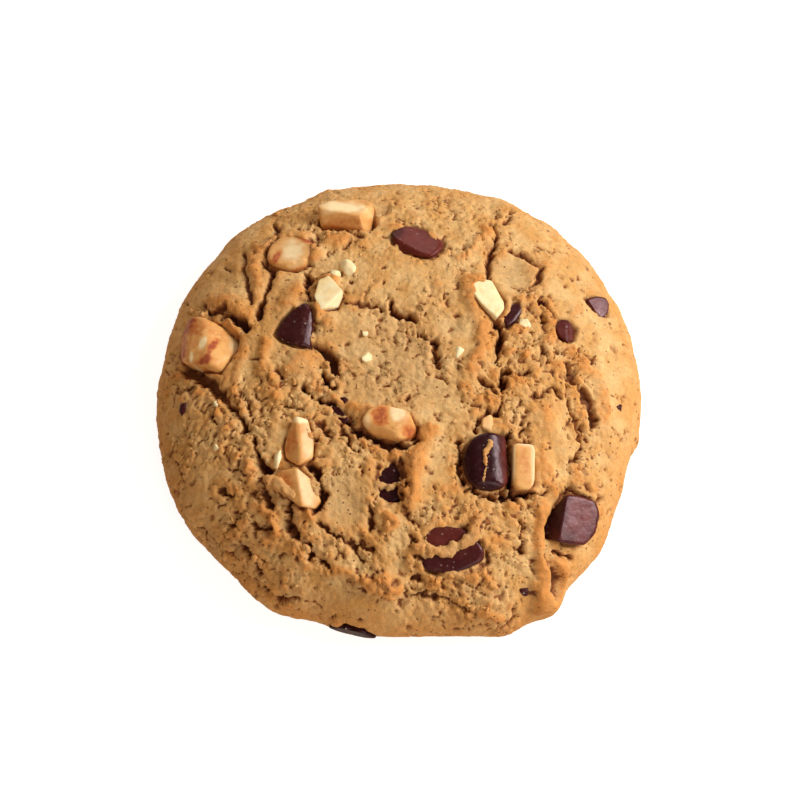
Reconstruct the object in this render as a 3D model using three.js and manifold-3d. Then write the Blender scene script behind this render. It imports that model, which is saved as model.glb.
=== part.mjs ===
// A thick round drop cookie with dark chocolate chunks and chopped roasted nuts, in millimetres, +Z up.
// The origin is the middle of the flat base. Places on the cookie are given in a chart: [u, v] is the
// distance from the crown measured along the surface, u to the right and v away from the front.
import * as THREE from "three";
import { mergeVertices } from "three/addons/utils/BufferGeometryUtils.js";
import Module from "manifold-3d";

const wasm = await Module();
wasm.setup();

// ---------------------------------------------------------------- driving dimensions
const RADIUS = 46.1; // plan radius at the widest line, before the lobes of the outline
const CROWN = 19.15; // height of the crown above the base
const WAIST = 3.5; // height of the widest line
const FOOT = 3; // how far the base edge tucks in under the widest line
const DOME_POWER = 3; // how flat the dome stays before it turns down
const GAP = 0.35; // clearance between a morsel and its pocket
const SIDE_DRAFT = 0.12; // how far a morsel's sides lean in for each millimetre down
const BLOCK = 40; // side of the block that a morsel or a pocket is cut from
const DOUGH_DETAIL = 20; // subdivisions of the dough's starting ball
const TOP_SHARE = 0.72; // share of the ball's area that becomes the top and the wall
const CROWDING = 2.2; // how much closer the dome's own steps lie towards the widest line
const LEAST_CRACK = 2.1; // narrowest crack that the dough's facets can carry
const CRACK_REACH = 0.59; // half width over which a crack slopes down, as a share of its width
const LUMP_REACH = 1.15; // how far a lump's slope runs out, as a share of its half size
const FADE_ABOVE = 3; // the relief starts to fade this far above the widest line
const FADE_BELOW = 0.5; // and is gone this far above the base edge
const WANDER = 0.7; // how far the relief's lines stray sideways
const WANDER_GRAIN = 3.1; // length of one stray
const FULL_TURN = 360;
const SEED = 11;

// The crumb of the baked surface, from coarse to fine.
const CRUMB = [
  { grain: 6.3, high: 0.45 },
  { grain: 2.7, high: 0.34 },
  { grain: 1.6, high: 0.2 },
];

// Lobes of the outline: direction in degrees, half width in degrees, how far it stands out.
const LOBES = [
  { toward: 296, spread: 14, out: 3.6 },
  { toward: 320, spread: 13, out: 1.9 },
  { toward: 345, spread: 13, out: -1.1 },
  { toward: 50, spread: 24, out: 1.0 },
  { toward: 135, spread: 22, out: 0.9 },
  { toward: 238, spread: 9, out: 1.0 },
  { toward: 205, spread: 20, out: 0.4 },
  { toward: 304, spread: 4, out: 1.8 },
  { toward: 293, spread: 4, out: 0.8 },
  { toward: 331, spread: 5, out: -0.6 },
  { toward: 350, spread: 4, out: 0.7 },
  { toward: 63, spread: 5, out: 0.6 },
  { toward: 97, spread: 8, out: -0.5 },
  { toward: 107.5, spread: 2.5, out: 0.8 },
  { toward: 165, spread: 8, out: -0.45 },
  { toward: 192, spread: 8, out: -0.35 },
  { toward: 243, spread: 5, out: 0.7 },
  { toward: 262, spread: 7, out: 0.5 },
  { toward: 213, spread: 5, out: 0.4 },
  { toward: 228, spread: 6, out: -0.3 },
];

// Cracks of the baked surface: an arc from one chart point to another. bow is how far the arc's middle
// stands to the left of the straight line.
const CRACKS = [
  // ring round the smooth middle
  { from: [-10.5, 13.3], to: [-2.8, 12.3], bow: 0.6, wide: 1.6, deep: 1.0 },
  { from: [-1.6, 13.8], to: [2.6, 10.2], bow: -0.5, wide: 1.8, deep: 1.7 },
  { from: [1.8, 8.6], to: [7.3, 5.4], bow: 0, wide: 2.0, deep: 2.2 },
  { from: [7.2, 5.4], to: [7.4, 0.5], bow: -0.3, wide: 2.2, deep: 1.2 },
  { from: [-15.4, 5.2], to: [-10.9, -0.5], bow: 0.9, wide: 2.0, deep: 2.0 },
  { from: [-14.1, 0.4], to: [-12.2, -3.6], bow: 0, wide: 1.8, deep: 2.2 },
  { from: [-17.2, -3.2], to: [-9.6, -10.5], bow: 0.4, wide: 2.2, deep: 2.2 },
  { from: [-9.8, -9.6], to: [-6, -12.8], bow: 0, wide: 3.2, deep: 2.4 },
  { from: [-10.2, -11.2], to: [-6.8, -16], bow: -0.3, wide: 1.8, deep: 1.6 },
  // long crack on the right, from the far edge to the large chunk
  { from: [17.2, 31.5], to: [16.4, 18.6], bow: 1.0, wide: 2.0, deep: 1.8 },
  { from: [18, 11.5], to: [19.2, -0.8], bow: 0.2, wide: 2.4, deep: 2.8 },
  { from: [19.1, -0.5], to: [18.6, -8], bow: 0.3, wide: 2.6, deep: 2.6 },
  { from: [18.6, -8], to: [14.4, -11.5], bow: 0.9, wide: 1.8, deep: 1.5 },
  { from: [20, -12.6], to: [20, -23], bow: 0, wide: 2.1, deep: 3.0 },
  { from: [20, -0.2], to: [24.2, -0.6], bow: -0.2, wide: 1.8, deep: 1.4 },
  // right-hand ring
  { from: [26.4, 17.8], to: [29.3, 11.6], bow: -0.7, wide: 2.0, deep: 1.9 },
  { from: [31, 2.2], to: [32.3, -1.2], bow: -0.2, wide: 2.2, deep: 2.0 },
  { from: [32.3, -1.2], to: [35.6, -4.5], bow: 0.5, wide: 2.0, deep: 1.9 },
  { from: [35.5, -4.5], to: [36.3, -12.5], bow: 0.4, wide: 2.4, deep: 1.1 },
  { from: [31.5, -5], to: [34.6, -12.5], bow: 0, wide: 1.8, deep: 1.4 },
  { from: [34.6, -12.5], to: [30.5, -18.5], bow: 0.6, wide: 1.8, deep: 1.4 },
  { from: [18.4, 26.2], to: [25, 24.4], bow: 0.6, wide: 1.8, deep: 1.0 },
  { from: [25, 24.4], to: [26.6, 19.5], bow: 0.8, wide: 2.2, deep: 1.5 },
  { from: [26.4, 19], to: [22.6, 17.6], bow: -0.4, wide: 1.8, deep: 1.2 },
  // front
  { from: [19.8, -23.2], to: [26.2, -22.4], bow: 0, wide: 2.0, deep: 2.4 },
  { from: [26.2, -22.4], to: [30.2, -19.3], bow: -0.2, wide: 1.8, deep: 1.2 },
  { from: [28.3, -32.8], to: [32, -33.4], bow: 0, wide: 2.0, deep: 1.6 },
  { from: [3.2, -29.5], to: [3.6, -35.5], bow: 0, wide: 2.0, deep: 1.8 },
  { from: [-4.2, -26.8], to: [-3.6, -35.6], bow: -1.2, wide: 2.0, deep: 1.9 },
  { from: [-15.6, -18.6], to: [-14.4, -25.8], bow: 0.9, wide: 2.2, deep: 2.6 },
  { from: [-14.2, -28.8], to: [-5.2, -33.6], bow: -0.8, wide: 1.9, deep: 1.6 },
  { from: [-18.6, -30.6], to: [-12.2, -37.2], bow: 0.3, wide: 2.0, deep: 1.6 },
  { from: [2.6, -41.8], to: [13.4, -43.6], bow: -0.6, wide: 2.0, deep: 1.3 },
  { from: [-30, -31.5], to: [-24.6, -40.8], bow: 0, wide: 2.0, deep: 1.4 },
  { from: [-24.8, -40.8], to: [-19.2, -43], bow: -0.3, wide: 1.9, deep: 1.1 },
  // left-hand ring
  { from: [-22.8, 30.5], to: [-24.6, 24.5], bow: 0, wide: 2.0, deep: 1.4 },
  { from: [-24, 23.5], to: [-26, 10.3], bow: 0.3, wide: 2.2, deep: 2.3 },
  { from: [-26, 10.3], to: [-29.8, 8], bow: 0.3, wide: 1.8, deep: 1.4 },
  { from: [-36.5, 15.4], to: [-28.4, 9.6], bow: 0.2, wide: 2.6, deep: 1.9 },
  { from: [-17.6, 21.5], to: [-15.8, 14], bow: 0.2, wide: 2.2, deep: 1.8 },
  { from: [-35.5, 0.3], to: [-32.8, -4.8], bow: 0, wide: 3.0, deep: 1.2 },
  { from: [-31.8, -5], to: [-28.6, -10.6], bow: 0.3, wide: 1.8, deep: 1.5 },
  { from: [-28.6, -10.6], to: [-23.2, -20.8], bow: 0.6, wide: 2.2, deep: 2.2 },
  { from: [-24.4, -22.8], to: [-23.3, -26.2], bow: 0, wide: 2.0, deep: 2.0 },
  { from: [-23, -26], to: [-18.4, -31.2], bow: 0.4, wide: 2.2, deep: 1.8 },
  { from: [-38.6, -14], to: [-36.4, -25], bow: -0.6, wide: 2.4, deep: 0.9 },
];

// Raised folds of dough, drawn like the cracks. high is their height above the dome.
const FOLDS = [
  { from: [14, -26], to: [9.5, -31.5], bow: 0.4, wide: 4.4, high: 1.5 },
  { from: [9.5, -31.5], to: [4.6, -33.2], bow: 0.4, wide: 3.4, high: 1.5 },
  { from: [24.2, -24], to: [23.6, -34], bow: 0.3, wide: 4.2, high: 1.2 },
  { from: [23.6, -34], to: [22.2, -44], bow: -0.3, wide: 4.2, high: 1.2 },
  { from: [28.8, -34.5], to: [25.2, -43], bow: -0.5, wide: 4.0, high: 1.1 },
  { from: [14.2, 19], to: [16.3, 8], bow: 0.3, wide: 4.0, high: 0.9 },
  { from: [16.3, 8], to: [14.2, 0.5], bow: 0.3, wide: 4.0, high: 0.9 },
  { from: [-27, 25.5], to: [-26, 18], bow: 0, wide: 3.0, high: 0.8 },
  { from: [-24.3, 4], to: [-23.8, -6.5], bow: 0.3, wide: 3.6, high: 0.8 },
  { from: [5.4, -14.5], to: [1.6, -24.5], bow: 0.6, wide: 5.6, high: 1.3 },
  { from: [-10, -6.2], to: [-4.5, -7.4], bow: 0.2, wide: 3.4, high: 0.9 },
];

// Rounded lumps (and, where high is negative, hollows): half sizes along and across, turned from u.
const LUMPS = [
  { at: [-3.5, -41], half: [5.8, 3.6], turn: 0, high: 1.6 },
  { at: [0, -31.5], half: [3.4, 7], turn: 8, high: 1.0 },
  { at: [28, -10], half: [5, 7.5], turn: 0, high: 0.9 },
  { at: [27, -17.5], half: [2.8, 4.8], turn: 0, high: 1.0 },
  { at: [-33, 16.5], half: [7, 3.6], turn: -28, high: 1.1 },
  { at: [-21.5, 16.5], half: [2.9, 5.8], turn: -18, high: 0.9 },
  { at: [-17.4, 2], half: [4.6, 3.4], turn: 0, high: 0.9 },
  { at: [-12, 27.3], half: [4, 2.6], turn: 0, high: 0.9 },
  { at: [23.5, 13.5], half: [3.2, 3.2], turn: 0, high: 0.9 },
  { at: [23.2, 5.5], half: [3.2, 4], turn: 0, high: 0.7 },
  { at: [26, -1.5], half: [2.4, 2.8], turn: 0, high: 0.8 },
  { at: [13.3, -4.8], half: [2.2, 4], turn: 12, high: 0.9 },
  { at: [-13.6, 9.3], half: [2, 3], turn: 10, high: 0.8 },
  { at: [8.5, -24], half: [4.2, 2.6], turn: 12, high: 0.7 },
  { at: [12.5, -38], half: [6, 3.2], turn: 6, high: 0.8 },
  { at: [-25.5, -27.5], half: [2, 3.8], turn: 28, high: 0.8 },
  { at: [-12.2, -32.3], half: [3.2, 1.8], turn: -35, high: 0.7 },
  { at: [22.2, 21.3], half: [3.8, 4], turn: 0, high: -0.9 },
  { at: [26.3, -37], half: [1.9, 3.2], turn: 0, high: -0.9 },
  { at: [0, 2], half: [13, 12], turn: 0, high: -0.5 },
];

// Morsels set in the dough. corners are the outline at the dome's height, counter-clockwise on the
// chart; thick is the height from the flat bottom to the top's middle; proud is how far that middle
// stands above the dome; tilt is the top's slope along u and v; hard is how little of the edge between
// a side and the top is worn away. facets are flats cut off the morsel: the direction each faces, as a
// turn from u and a climb from the dome in degrees, and its distance from the morsel's middle. lapped
// says that dough laps over the top, so the pocket is closed above.
const CHOCOLATE = { color: 0x43231f, roughness: 0.35, metalness: 0 };
const ROASTED_NUT = { color: 0xd9a05e, roughness: 0.55, metalness: 0 };
const PALE_NUT = { color: 0xeddcab, roughness: 0.5, metalness: 0 };
const DOUGH = { color: 0xc08a52, roughness: 0.85, metalness: 0 };

const MORSELS = {
  chocolate_back: {
    finish: CHOCOLATE, thick: 5.5, proud: 0.2, tilt: [-0.04, -0.12], hard: 24,
    corners: [[-1, 29.7], [-1.2, 27.3], [0.2, 25.1], [3, 24], [6.2, 23.3], [8, 24.9], [8.6, 26.9],
      [5.4, 30], [3, 31.4], [0.4, 30.8]],
    facets: [[230, 36, 3.5], [70, 38, 3.9]],
  },
  chocolate_left: {
    finish: CHOCOLATE, thick: 6, proud: 0.9, tilt: [0.14, 0.02], hard: 13,
    corners: [[-22.8, 7.4], [-21.6, 6.1], [-19, 4.8], [-16, 4.3], [-15.5, 7], [-15.5, 11.4],
      [-16.4, 13.2], [-17.6, 13.4], [-19.4, 12.2], [-21.2, 10.4]],
    facets: [[344, 58, 3.4]],
  },
  chocolate_crack: {
    finish: CHOCOLATE, thick: 4.4, proud: 0.1, tilt: [0, 0], hard: 14,
    corners: [[19.2, 10.9], [19.9, 8.8], [21.7, 10.2], [23.2, 12.6], [22.1, 14.2], [20.4, 13.4]],
    facets: [[330, 48, 2.3]],
  },
  chocolate_right: {
    finish: CHOCOLATE, thick: 4.8, proud: 0.6, tilt: [0.16, 0], hard: 16,
    corners: [[29, 9.4], [29.8, 7.6], [31.2, 6.6], [32.9, 7.8], [33.2, 10], [31.6, 11.4], [29.8, 11.2]],
    facets: [[0, 64, 2.2], [352, 36, 2.2]],
  },
  chocolate_rim: {
    finish: CHOCOLATE, thick: 4.2, proud: 0.3, tilt: [0.14, 0.3], hard: 12,
    corners: [[35.6, 17.3], [37.3, 15.2], [38.9, 13.8], [40.4, 15.2], [40.6, 17.4], [39.8, 18.5],
      [37.6, 18.4]],
    facets: [],
  },
  chocolate_large: {
    finish: CHOCOLATE, thick: 8, proud: 1.5, tilt: [0.04, 0.02], hard: 26,
    corners: [[11.3, -17], [11.6, -19.8], [12.4, -21.6], [13.8, -22.8], [16, -23.2], [18.4, -22.6],
      [19.5, -21.4], [19.65, -17], [19.4, -12.7], [15.4, -12.6], [13.6, -13.4], [12, -15]],
    facets: [[2, 53, 4.5], [358, 72, 4.3], [184, 52, 4.25], [268, 44, 5.2]],
  },
  chocolate_side: {
    finish: CHOCOLATE, thick: 6.2, proud: 1, tilt: [0.02, -0.12], hard: 34,
    corners: [[26, -28.6], [26.4, -30.2], [28.6, -31], [33.2, -31], [35.3, -28.8], [36.2, -25],
      [35.3, -23], [31.8, -22.2], [29.7, -22.2], [27.8, -24.8]],
    facets: [[167, 24, 3.4]],
  },
  chocolate_front: {
    finish: CHOCOLATE, lapped: true, thick: 5.2, proud: 0.5, tilt: [0, -0.03], hard: 18,
    corners: [[4.2, -31], [3.8, -35], [5, -37.6], [8, -38], [12, -36.6], [15.4, -34.2], [15, -32],
      [10.8, -29.2], [6.4, -29.2]],
    facets: [[268, 44, 4.6]],
  },
  chocolate_buried: {
    finish: CHOCOLATE, thick: 4.4, proud: -0.9, tilt: [0, 0], hard: 14,
    corners: [[-4.2, -24.5], [-2.4, -26], [0.2, -25], [0.6, -20], [-0.8, -17.8], [-3.2, -18.2],
      [-4.4, -21]],
    facets: [],
  },
  chocolate_sliver: {
    finish: CHOCOLATE, thick: 4, proud: -0.6, tilt: [0.1, 0.1], hard: 12,
    corners: [[-13, -8.6], [-12, -9.9], [-9.8, -10.6], [-8.8, -9.8], [-10.6, -7.2], [-12.4, -6.8]],
    facets: [],
  },
  chocolate_foot: {
    finish: CHOCOLATE, thick: 4.2, proud: 0.25, tilt: [0, 0], hard: 10,
    corners: [[-14.2, -50.2], [-12.8, -51.3], [-6.8, -52.6], [-4.8, -52.2], [-7.2, -49.9], [-11.4, -48.9]],
    facets: [],
  },
  nut_back: {
    finish: ROASTED_NUT, thick: 6.4, proud: 1.7, tilt: [0, -0.16], hard: 34,
    corners: [[-15.2, 33.6], [-14.4, 31], [-5.4, 30.4], [-4.4, 31.6], [-5, 36.6], [-7.4, 37.8],
      [-13.4, 36]],
    facets: [[264, 32, 3.25], [352, 30, 4.1]],
  },
  nut_round: {
    finish: ROASTED_NUT, thick: 6.4, proud: 0.8, tilt: [0, -0.02], hard: 12,
    corners: [[-22.2, 21.6], [-19.2, 20.9], [-17.2, 21.6], [-15.8, 24], [-15.6, 26.6], [-17.4, 28.4],
      [-20, 29.4], [-22.6, 29], [-24.4, 26.8], [-24.6, 23.6]],
    facets: [[285, 40, 4.6]],
  },
  nut_toasted: {
    finish: ROASTED_NUT, thick: 8, proud: 2.4, tilt: [0.02, 0], hard: 16,
    corners: [[-42.6, 6.6], [-41.2, 4.4], [-38, 2.4], [-33.2, 0.9], [-30.2, 5], [-30, 8], [-34, 11.2],
      [-39, 12.6], [-42, 11.6]],
    facets: [[14, 40, 4], [178, 46, 4.5]],
  },
  nut_middle: {
    finish: ROASTED_NUT, thick: 5.8, proud: 1.9, tilt: [0, -0.05], hard: 15,
    corners: [[-6.6, -11], [-4.6, -13], [0, -14.1], [3.2, -13.4], [3.5, -11.4], [1.6, -9],
      [-3.4, -7.7], [-5.6, -8.7]],
    facets: [[325, 44, 3.5], [250, 48, 3.1]],
  },
  nut_left: {
    finish: ROASTED_NUT, thick: 5.8, proud: 1.6, tilt: [0, 0.02], hard: 20,
    corners: [[-20.7, -14.8], [-20.5, -17], [-17.9, -18.6], [-15.5, -17.2], [-15.2, -14.2],
      [-16.3, -9.8], [-18.6, -9.6], [-19.8, -12]],
    facets: [[184, 60, 2.35], [4, 58, 2.6]],
  },
  nut_wedge: {
    finish: ROASTED_NUT, thick: 5.8, proud: 1.4, tilt: [0.25, 0.05], hard: 28,
    corners: [[-22.4, -20.4], [-20.4, -23.6], [-17.6, -26], [-15, -26.4], [-13.8, -24.8],
      [-15.8, -20.8], [-18, -19.4], [-21.6, -19.5]],
    facets: [[10, 50, 2.65]],
  },
  nut_block: {
    finish: ROASTED_NUT, thick: 5.4, proud: 1.5, tilt: [0, 0], hard: 24,
    corners: [[20.15, -14.6], [20.15, -21.6], [20.8, -22.6], [23, -22.6], [23.8, -21.4], [24, -15.4],
      [23.6, -14], [20.8, -13.9]],
    facets: [[182, 52, 3], [90, 36, 4.5]],
  },
  nut_pale_left: {
    finish: PALE_NUT, thick: 5, proud: 1.1, tilt: [0.03, -0.03], hard: 30,
    corners: [[-15.4, 14.6], [-14.3, 11.8], [-11, 12.9], [-10.2, 15.3], [-12.8, 18.8], [-14.6, 18]],
    facets: [[318, 34, 3]],
  },
  nut_pale_right: {
    finish: PALE_NUT, thick: 5.2, proud: 1.1, tilt: [-0.04, 0], hard: 26,
    corners: [[13.8, 15], [15.4, 12.6], [17.8, 10.2], [19.3, 12.2], [19.7, 14.4], [17.4, 18],
      [14.6, 18.2], [13, 17]],
    facets: [[20, 34, 2.9]],
  },
};

// Small nut bits that stand in the dough's own solid: place, diameter, length for each diameter, turn
// from u in degrees, height above the dome.
const BITS = [
  { at: [-11.9, 19.7], across: 2.0, long: 1.2, turn: -40, proud: 0.7 },
  { at: [-9.4, 21.2], across: 2.6, long: 1.3, turn: 20, proud: 0.8 },
  { at: [-21.8, -17.3], across: 1.4, long: 2.5, turn: -17, proud: 0.8 },
  { at: [16, -10.6], across: 2.8, long: 1, turn: 0, proud: 1.0 },
  { at: [23.5, 9.8], across: 2.2, long: 1, turn: 0, proud: 0.7 },
];

// ---------------------------------------------------------------- small mathematics
const radians = (degrees) => (degrees * Math.PI) / 180;
const clamp01 = (x) => Math.min(1, Math.max(0, x));
const smooth = (low, high, x) => {
  const t = clamp01((x - low) / (high - low));
  return t * t * (3 - 2 * t);
};

// A repeatable number from 0 to 1 for a lattice point.
function lattice(i, j, seed) {
  let h = Math.imul(i, 374761393) ^ Math.imul(j, 668265263) ^ Math.imul(seed, 2246822519);
  h = Math.imul(h ^ (h >>> 13), 1274126177);
  return ((h ^ (h >>> 16)) >>> 0) / 4294967295;
}

// Smooth noise from -1 to 1 with bumps one grain across.
function noise(x, y, grain, seed) {
  const i = Math.floor(x / grain);
  const j = Math.floor(y / grain);
  const s = smooth(0, 1, x / grain - i);
  const t = smooth(0, 1, y / grain - j);
  const near = THREE.MathUtils.lerp(lattice(i, j, seed), lattice(i + 1, j, seed), s);
  const far = THREE.MathUtils.lerp(lattice(i, j + 1, seed), lattice(i + 1, j + 1, seed), s);
  return 2 * THREE.MathUtils.lerp(near, far, t) - 1;
}

// ---------------------------------------------------------------- the plain body
// The meridian from the crown, over the dome, round the waist and in under the base, as a list of
// { s, r, z, area }: distance along the surface, radius, height and the area swept so far.
function meridian() {
  const line = [];
  const add = (r, z) => {
    const last = line[line.length - 1];
    const step = last ? Math.hypot(r - last.r, z - last.z) : 0;
    const s = last ? last.s + step : 0;
    const area = last ? last.area + Math.PI * (r + last.r) * step : 0;
    line.push({ s, r, z, area });
  };
  const DOME_STEPS = 240;
  for (let k = 0; k <= DOME_STEPS; k++) {
    const share = 1 - (1 - k / DOME_STEPS) ** CROWDING;
    add(RADIUS * share, WAIST + (CROWN - WAIST) * Math.sqrt(1 - share ** DOME_POWER));
  }
  const waist = line.length - 1;
  const EDGE_STEPS = 24;
  for (let k = 1; k <= EDGE_STEPS; k++) {
    const turn = ((k / EDGE_STEPS) * Math.PI) / 2;
    add(RADIUS - FOOT * (1 - Math.cos(turn)), k === EDGE_STEPS ? 0 : WAIST * (1 - Math.sin(turn)));
  }
  const foot = line.length - 1;
  const BASE_STEPS = 24;
  for (let k = 1; k <= BASE_STEPS; k++) add((RADIUS - FOOT) * (1 - k / BASE_STEPS), 0);
  return { line, waist: line[waist], foot: line[foot], end: line[line.length - 1] };
}
const BODY = meridian();

// The meridian's values where one of them (s or area) has a given value.
function along(key, value) {
  const { line } = BODY;
  let low = 0;
  let high = line.length - 1;
  while (high - low > 1) {
    const middle = (low + high) >> 1;
    if (line[middle][key] <= value) low = middle;
    else high = middle;
  }
  const a = line[low];
  const b = line[high];
  const t = clamp01((value - a[key]) / (b[key] - a[key]));
  return {
    s: THREE.MathUtils.lerp(a.s, b.s, t),
    r: THREE.MathUtils.lerp(a.r, b.r, t),
    z: THREE.MathUtils.lerp(a.z, b.z, t),
  };
}

// How far the outline stands out in one direction, in millimetres.
function outlineLobe(angle) {
  return LOBES.reduce((sum, { toward, spread, out }) => {
    const turned = THREE.MathUtils.radToDeg(angle) - toward + 2.5 * FULL_TURN;
    const away = (turned % FULL_TURN) - FULL_TURN / 2;
    return sum + out * Math.exp(-((away / spread) ** 2));
  }, 0);
}

// The plain body's point at a chart place.
function bodyPoint(u, v) {
  const angle = Math.atan2(v, u);
  const { r, z } = along("s", Math.hypot(u, v));
  const share = r / RADIUS;
  const reach = r + outlineLobe(angle) * share ** 3;
  return new THREE.Vector3(reach * Math.cos(angle), reach * Math.sin(angle), z);
}

// The plain body's point and its tangents and normal at a chart place, as a matrix.
function bodyFrame(u, v) {
  const STEP = 0.05;
  const origin = bodyPoint(u, v);
  const alongU = bodyPoint(u + STEP, v).sub(bodyPoint(u - STEP, v)).normalize();
  const alongV = bodyPoint(u, v + STEP).sub(bodyPoint(u, v - STEP)).normalize();
  const normal = alongU.clone().cross(alongV).normalize();
  const across = normal.clone().cross(alongU).normalize();
  return new THREE.Matrix4().makeBasis(alongU, across, normal).setPosition(origin);
}

// ---------------------------------------------------------------- relief of the dough
// Straight steps of each arc, worked out once.
function arcSteps({ from, to, bow }) {
  const STEPS = 6;
  const start = new THREE.Vector2(...from);
  const end = new THREE.Vector2(...to);
  const line = end.clone().sub(start).normalize();
  const left = new THREE.Vector2(-line.y, line.x);
  const bend = start.clone().add(end).divideScalar(2).addScaledVector(left, 2 * bow);
  return new THREE.QuadraticBezierCurve(start, bend, end).getPoints(STEPS);
}
const crackArcs = CRACKS.map((crack) => ({ ...crack, points: arcSteps(crack) }));
const foldArcs = FOLDS.map((fold) => ({ ...fold, points: arcSteps(fold) }));

// Distance from a chart place to an arc.
function awayFrom(points, u, v) {
  let least = Infinity;
  for (let k = 0; k + 1 < points.length; k++) {
    const a = points[k];
    const b = points[k + 1];
    const dx = b.x - a.x;
    const dy = b.y - a.y;
    const t = clamp01(((u - a.x) * dx + (v - a.y) * dy) / (dx * dx + dy * dy));
    least = Math.min(least, Math.hypot(u - a.x - t * dx, v - a.y - t * dy));
  }
  return least;
}

// A rounded bump: 1 in the middle, 0 from the edge on.
const bump = (share) => (share < 1 ? (1 - share * share) ** 2 : 0);

// Height of the baked relief above the plain body at a chart place.
function relief(u, v) {
  const wu = u + WANDER * noise(u, v, WANDER_GRAIN, SEED);
  const wv = v + WANDER * noise(u, v, WANDER_GRAIN, SEED + 1);
  const raised = foldArcs.reduce(
    (sum, { points, wide, high }) => sum + high * bump(awayFrom(points, wu, wv) / (wide / 2)), 0);
  const lumps = LUMPS.reduce((sum, { at, half, turn, high }) => {
    const [c, s] = [Math.cos(radians(turn)), Math.sin(radians(turn))];
    const [x, y] = [wu - at[0], wv - at[1]];
    const share = Math.hypot((c * x + s * y) / half[0], (c * y - s * x) / half[1]);
    return sum + high * bump(share / LUMP_REACH);
  }, 0);
  const carved = crackArcs.reduce((most, { points, wide, deep }) => {
    const slope = CRACK_REACH * Math.max(wide, LEAST_CRACK);
    return Math.max(most, deep * bump(awayFrom(points, wu, wv) / slope));
  }, 0);
  const crumb = CRUMB.reduce(
    (sum, { grain, high }, k) => sum + high * noise(u, v, grain, SEED + 2 + k), 0);
  const fade = smooth(BODY.waist.s - FADE_ABOVE, BODY.foot.s - FADE_BELOW, Math.hypot(u, v));
  return (1 - fade) * (raised + lumps - carved + crumb);
}

// ---------------------------------------------------------------- solids
// A closed geometry with shared vertices becomes a solid that can be cut and joined.
function solidOf(geometry) {
  const plain = geometry.clone();
  plain.deleteAttribute("normal");
  plain.deleteAttribute("uv");
  const merged = mergeVertices(plain, 1e-3);
  return new wasm.Manifold(
    new wasm.Mesh({
      numProp: 3,
      vertProperties: new Float32Array(merged.attributes.position.array),
      triVerts: new Uint32Array(merged.index.array),
    }),
  );
}

// The solid's surface as a geometry.
function geometryOf(solid) {
  const { vertProperties, triVerts } = solid.getMesh();
  const geometry = new THREE.BufferGeometry()
    .setAttribute("position", new THREE.BufferAttribute(new Float32Array(vertProperties), 3))
    .setIndex(new THREE.BufferAttribute(new Uint32Array(triVerts), 1));
  geometry.computeVertexNormals();
  return geometry;
}

// The largest of a solid's separate pieces: a scrap that a pocket cuts loose is dropped.
function largestPiece(solid) {
  return solid.decompose().reduce((best, piece) => (piece.volume() > best.volume() ? piece : best));
}

// A ball's surface moved onto the cookie: its area is shared out over the top and wall, and the base.
function doughSolid() {
  const ball = new THREE.IcosahedronGeometry(1, DOUGH_DETAIL);
  const place = ball.getAttribute("position");
  const point = new THREE.Vector3();
  for (let k = 0; k < place.count; k++) {
    point.fromBufferAttribute(place, k).normalize();
    const share = (1 - point.z) / 2;
    const { foot, end } = BODY;
    const area =
      share < TOP_SHARE
        ? (share / TOP_SHARE) * foot.area
        : foot.area + ((share - TOP_SHARE) / (1 - TOP_SHARE)) * (end.area - foot.area);
    const { s } = along("area", area);
    const angle = Math.atan2(point.y, point.x);
    const [u, v] = [s * Math.cos(angle), s * Math.sin(angle)];
    const spot = bodyPoint(u, v);
    if (s < foot.s) {
      const normal = new THREE.Vector3().setFromMatrixColumn(bodyFrame(u, v), 2);
      spot.addScaledVector(normal, relief(u, v));
    }
    place.setXYZ(k, spot.x, spot.y, Math.max(0, spot.z));
  }
  return solidOf(ball);
}

// The middle of a morsel's corners on the chart.
function middleOf(corners) {
  const sum = corners.reduce(([u, v], [cu, cv]) => [u + cu, v + cv], [0, 0]);
  return sum.map((value) => value / corners.length);
}

// A direction by its turn from u and its climb from the dome, both in degrees.
function aimed(toward, up) {
  const flat = Math.cos(radians(up));
  const turn = radians(toward);
  return new THREE.Vector3(flat * Math.cos(turn), flat * Math.sin(turn), Math.sin(radians(up)));
}

// A morsel's faces are planes about its own middle, each a normal and a reach. Its walls stand on the
// sides of its outline at the dome's height and lean in towards the bottom.
function wallsOf({ corners, thick, proud }) {
  const [mu, mv] = middleOf(corners);
  return corners.map(([u0, v0], k) => {
    const [u1, v1] = corners[(k + 1) % corners.length];
    const down = -SIDE_DRAFT * Math.hypot(u1 - u0, v1 - v0);
    const normal = new THREE.Vector3(v1 - v0, u0 - u1, down).normalize();
    const corner = new THREE.Vector3(u0 - mu, v0 - mv, thick / 2 - proud);
    return { normal, reach: normal.dot(corner) };
  });
}

// A morsel's flat bottom.
const floorOf = ({ thick }) => ({ normal: new THREE.Vector3(0, 0, -1), reach: thick / 2 });

// The worn edge between a wall and the top: hard says how little of the sharp edge is worn away.
function wornEdge(wall, top, sharp, hard) {
  const normal = wall.normal.clone().add(top.normal).normalize();
  const pull = sharp.reduce(
    (sum, face) => sum + Math.max(0, normal.dot(face.normal) / face.reach) ** hard, 0);
  return { normal, reach: pull ** (-1 / hard) };
}

// All the faces of a morsel: top, bottom, walls, facets and the worn edges round the top.
function facesOf(morsel) {
  const { thick, tilt, facets, hard } = morsel;
  const lean = new THREE.Vector3(-tilt[0], -tilt[1], 1);
  const top = { normal: lean.clone().normalize(), reach: thick / 2 / lean.length() };
  const walls = wallsOf(morsel);
  const flats = facets.map(([toward, up, reach]) => ({ normal: aimed(toward, up), reach }));
  const sharp = [top, floorOf(morsel), ...walls, ...flats];
  return [...sharp, ...walls.map((wall) => wornEdge(wall, top, sharp, hard))];
}

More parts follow.
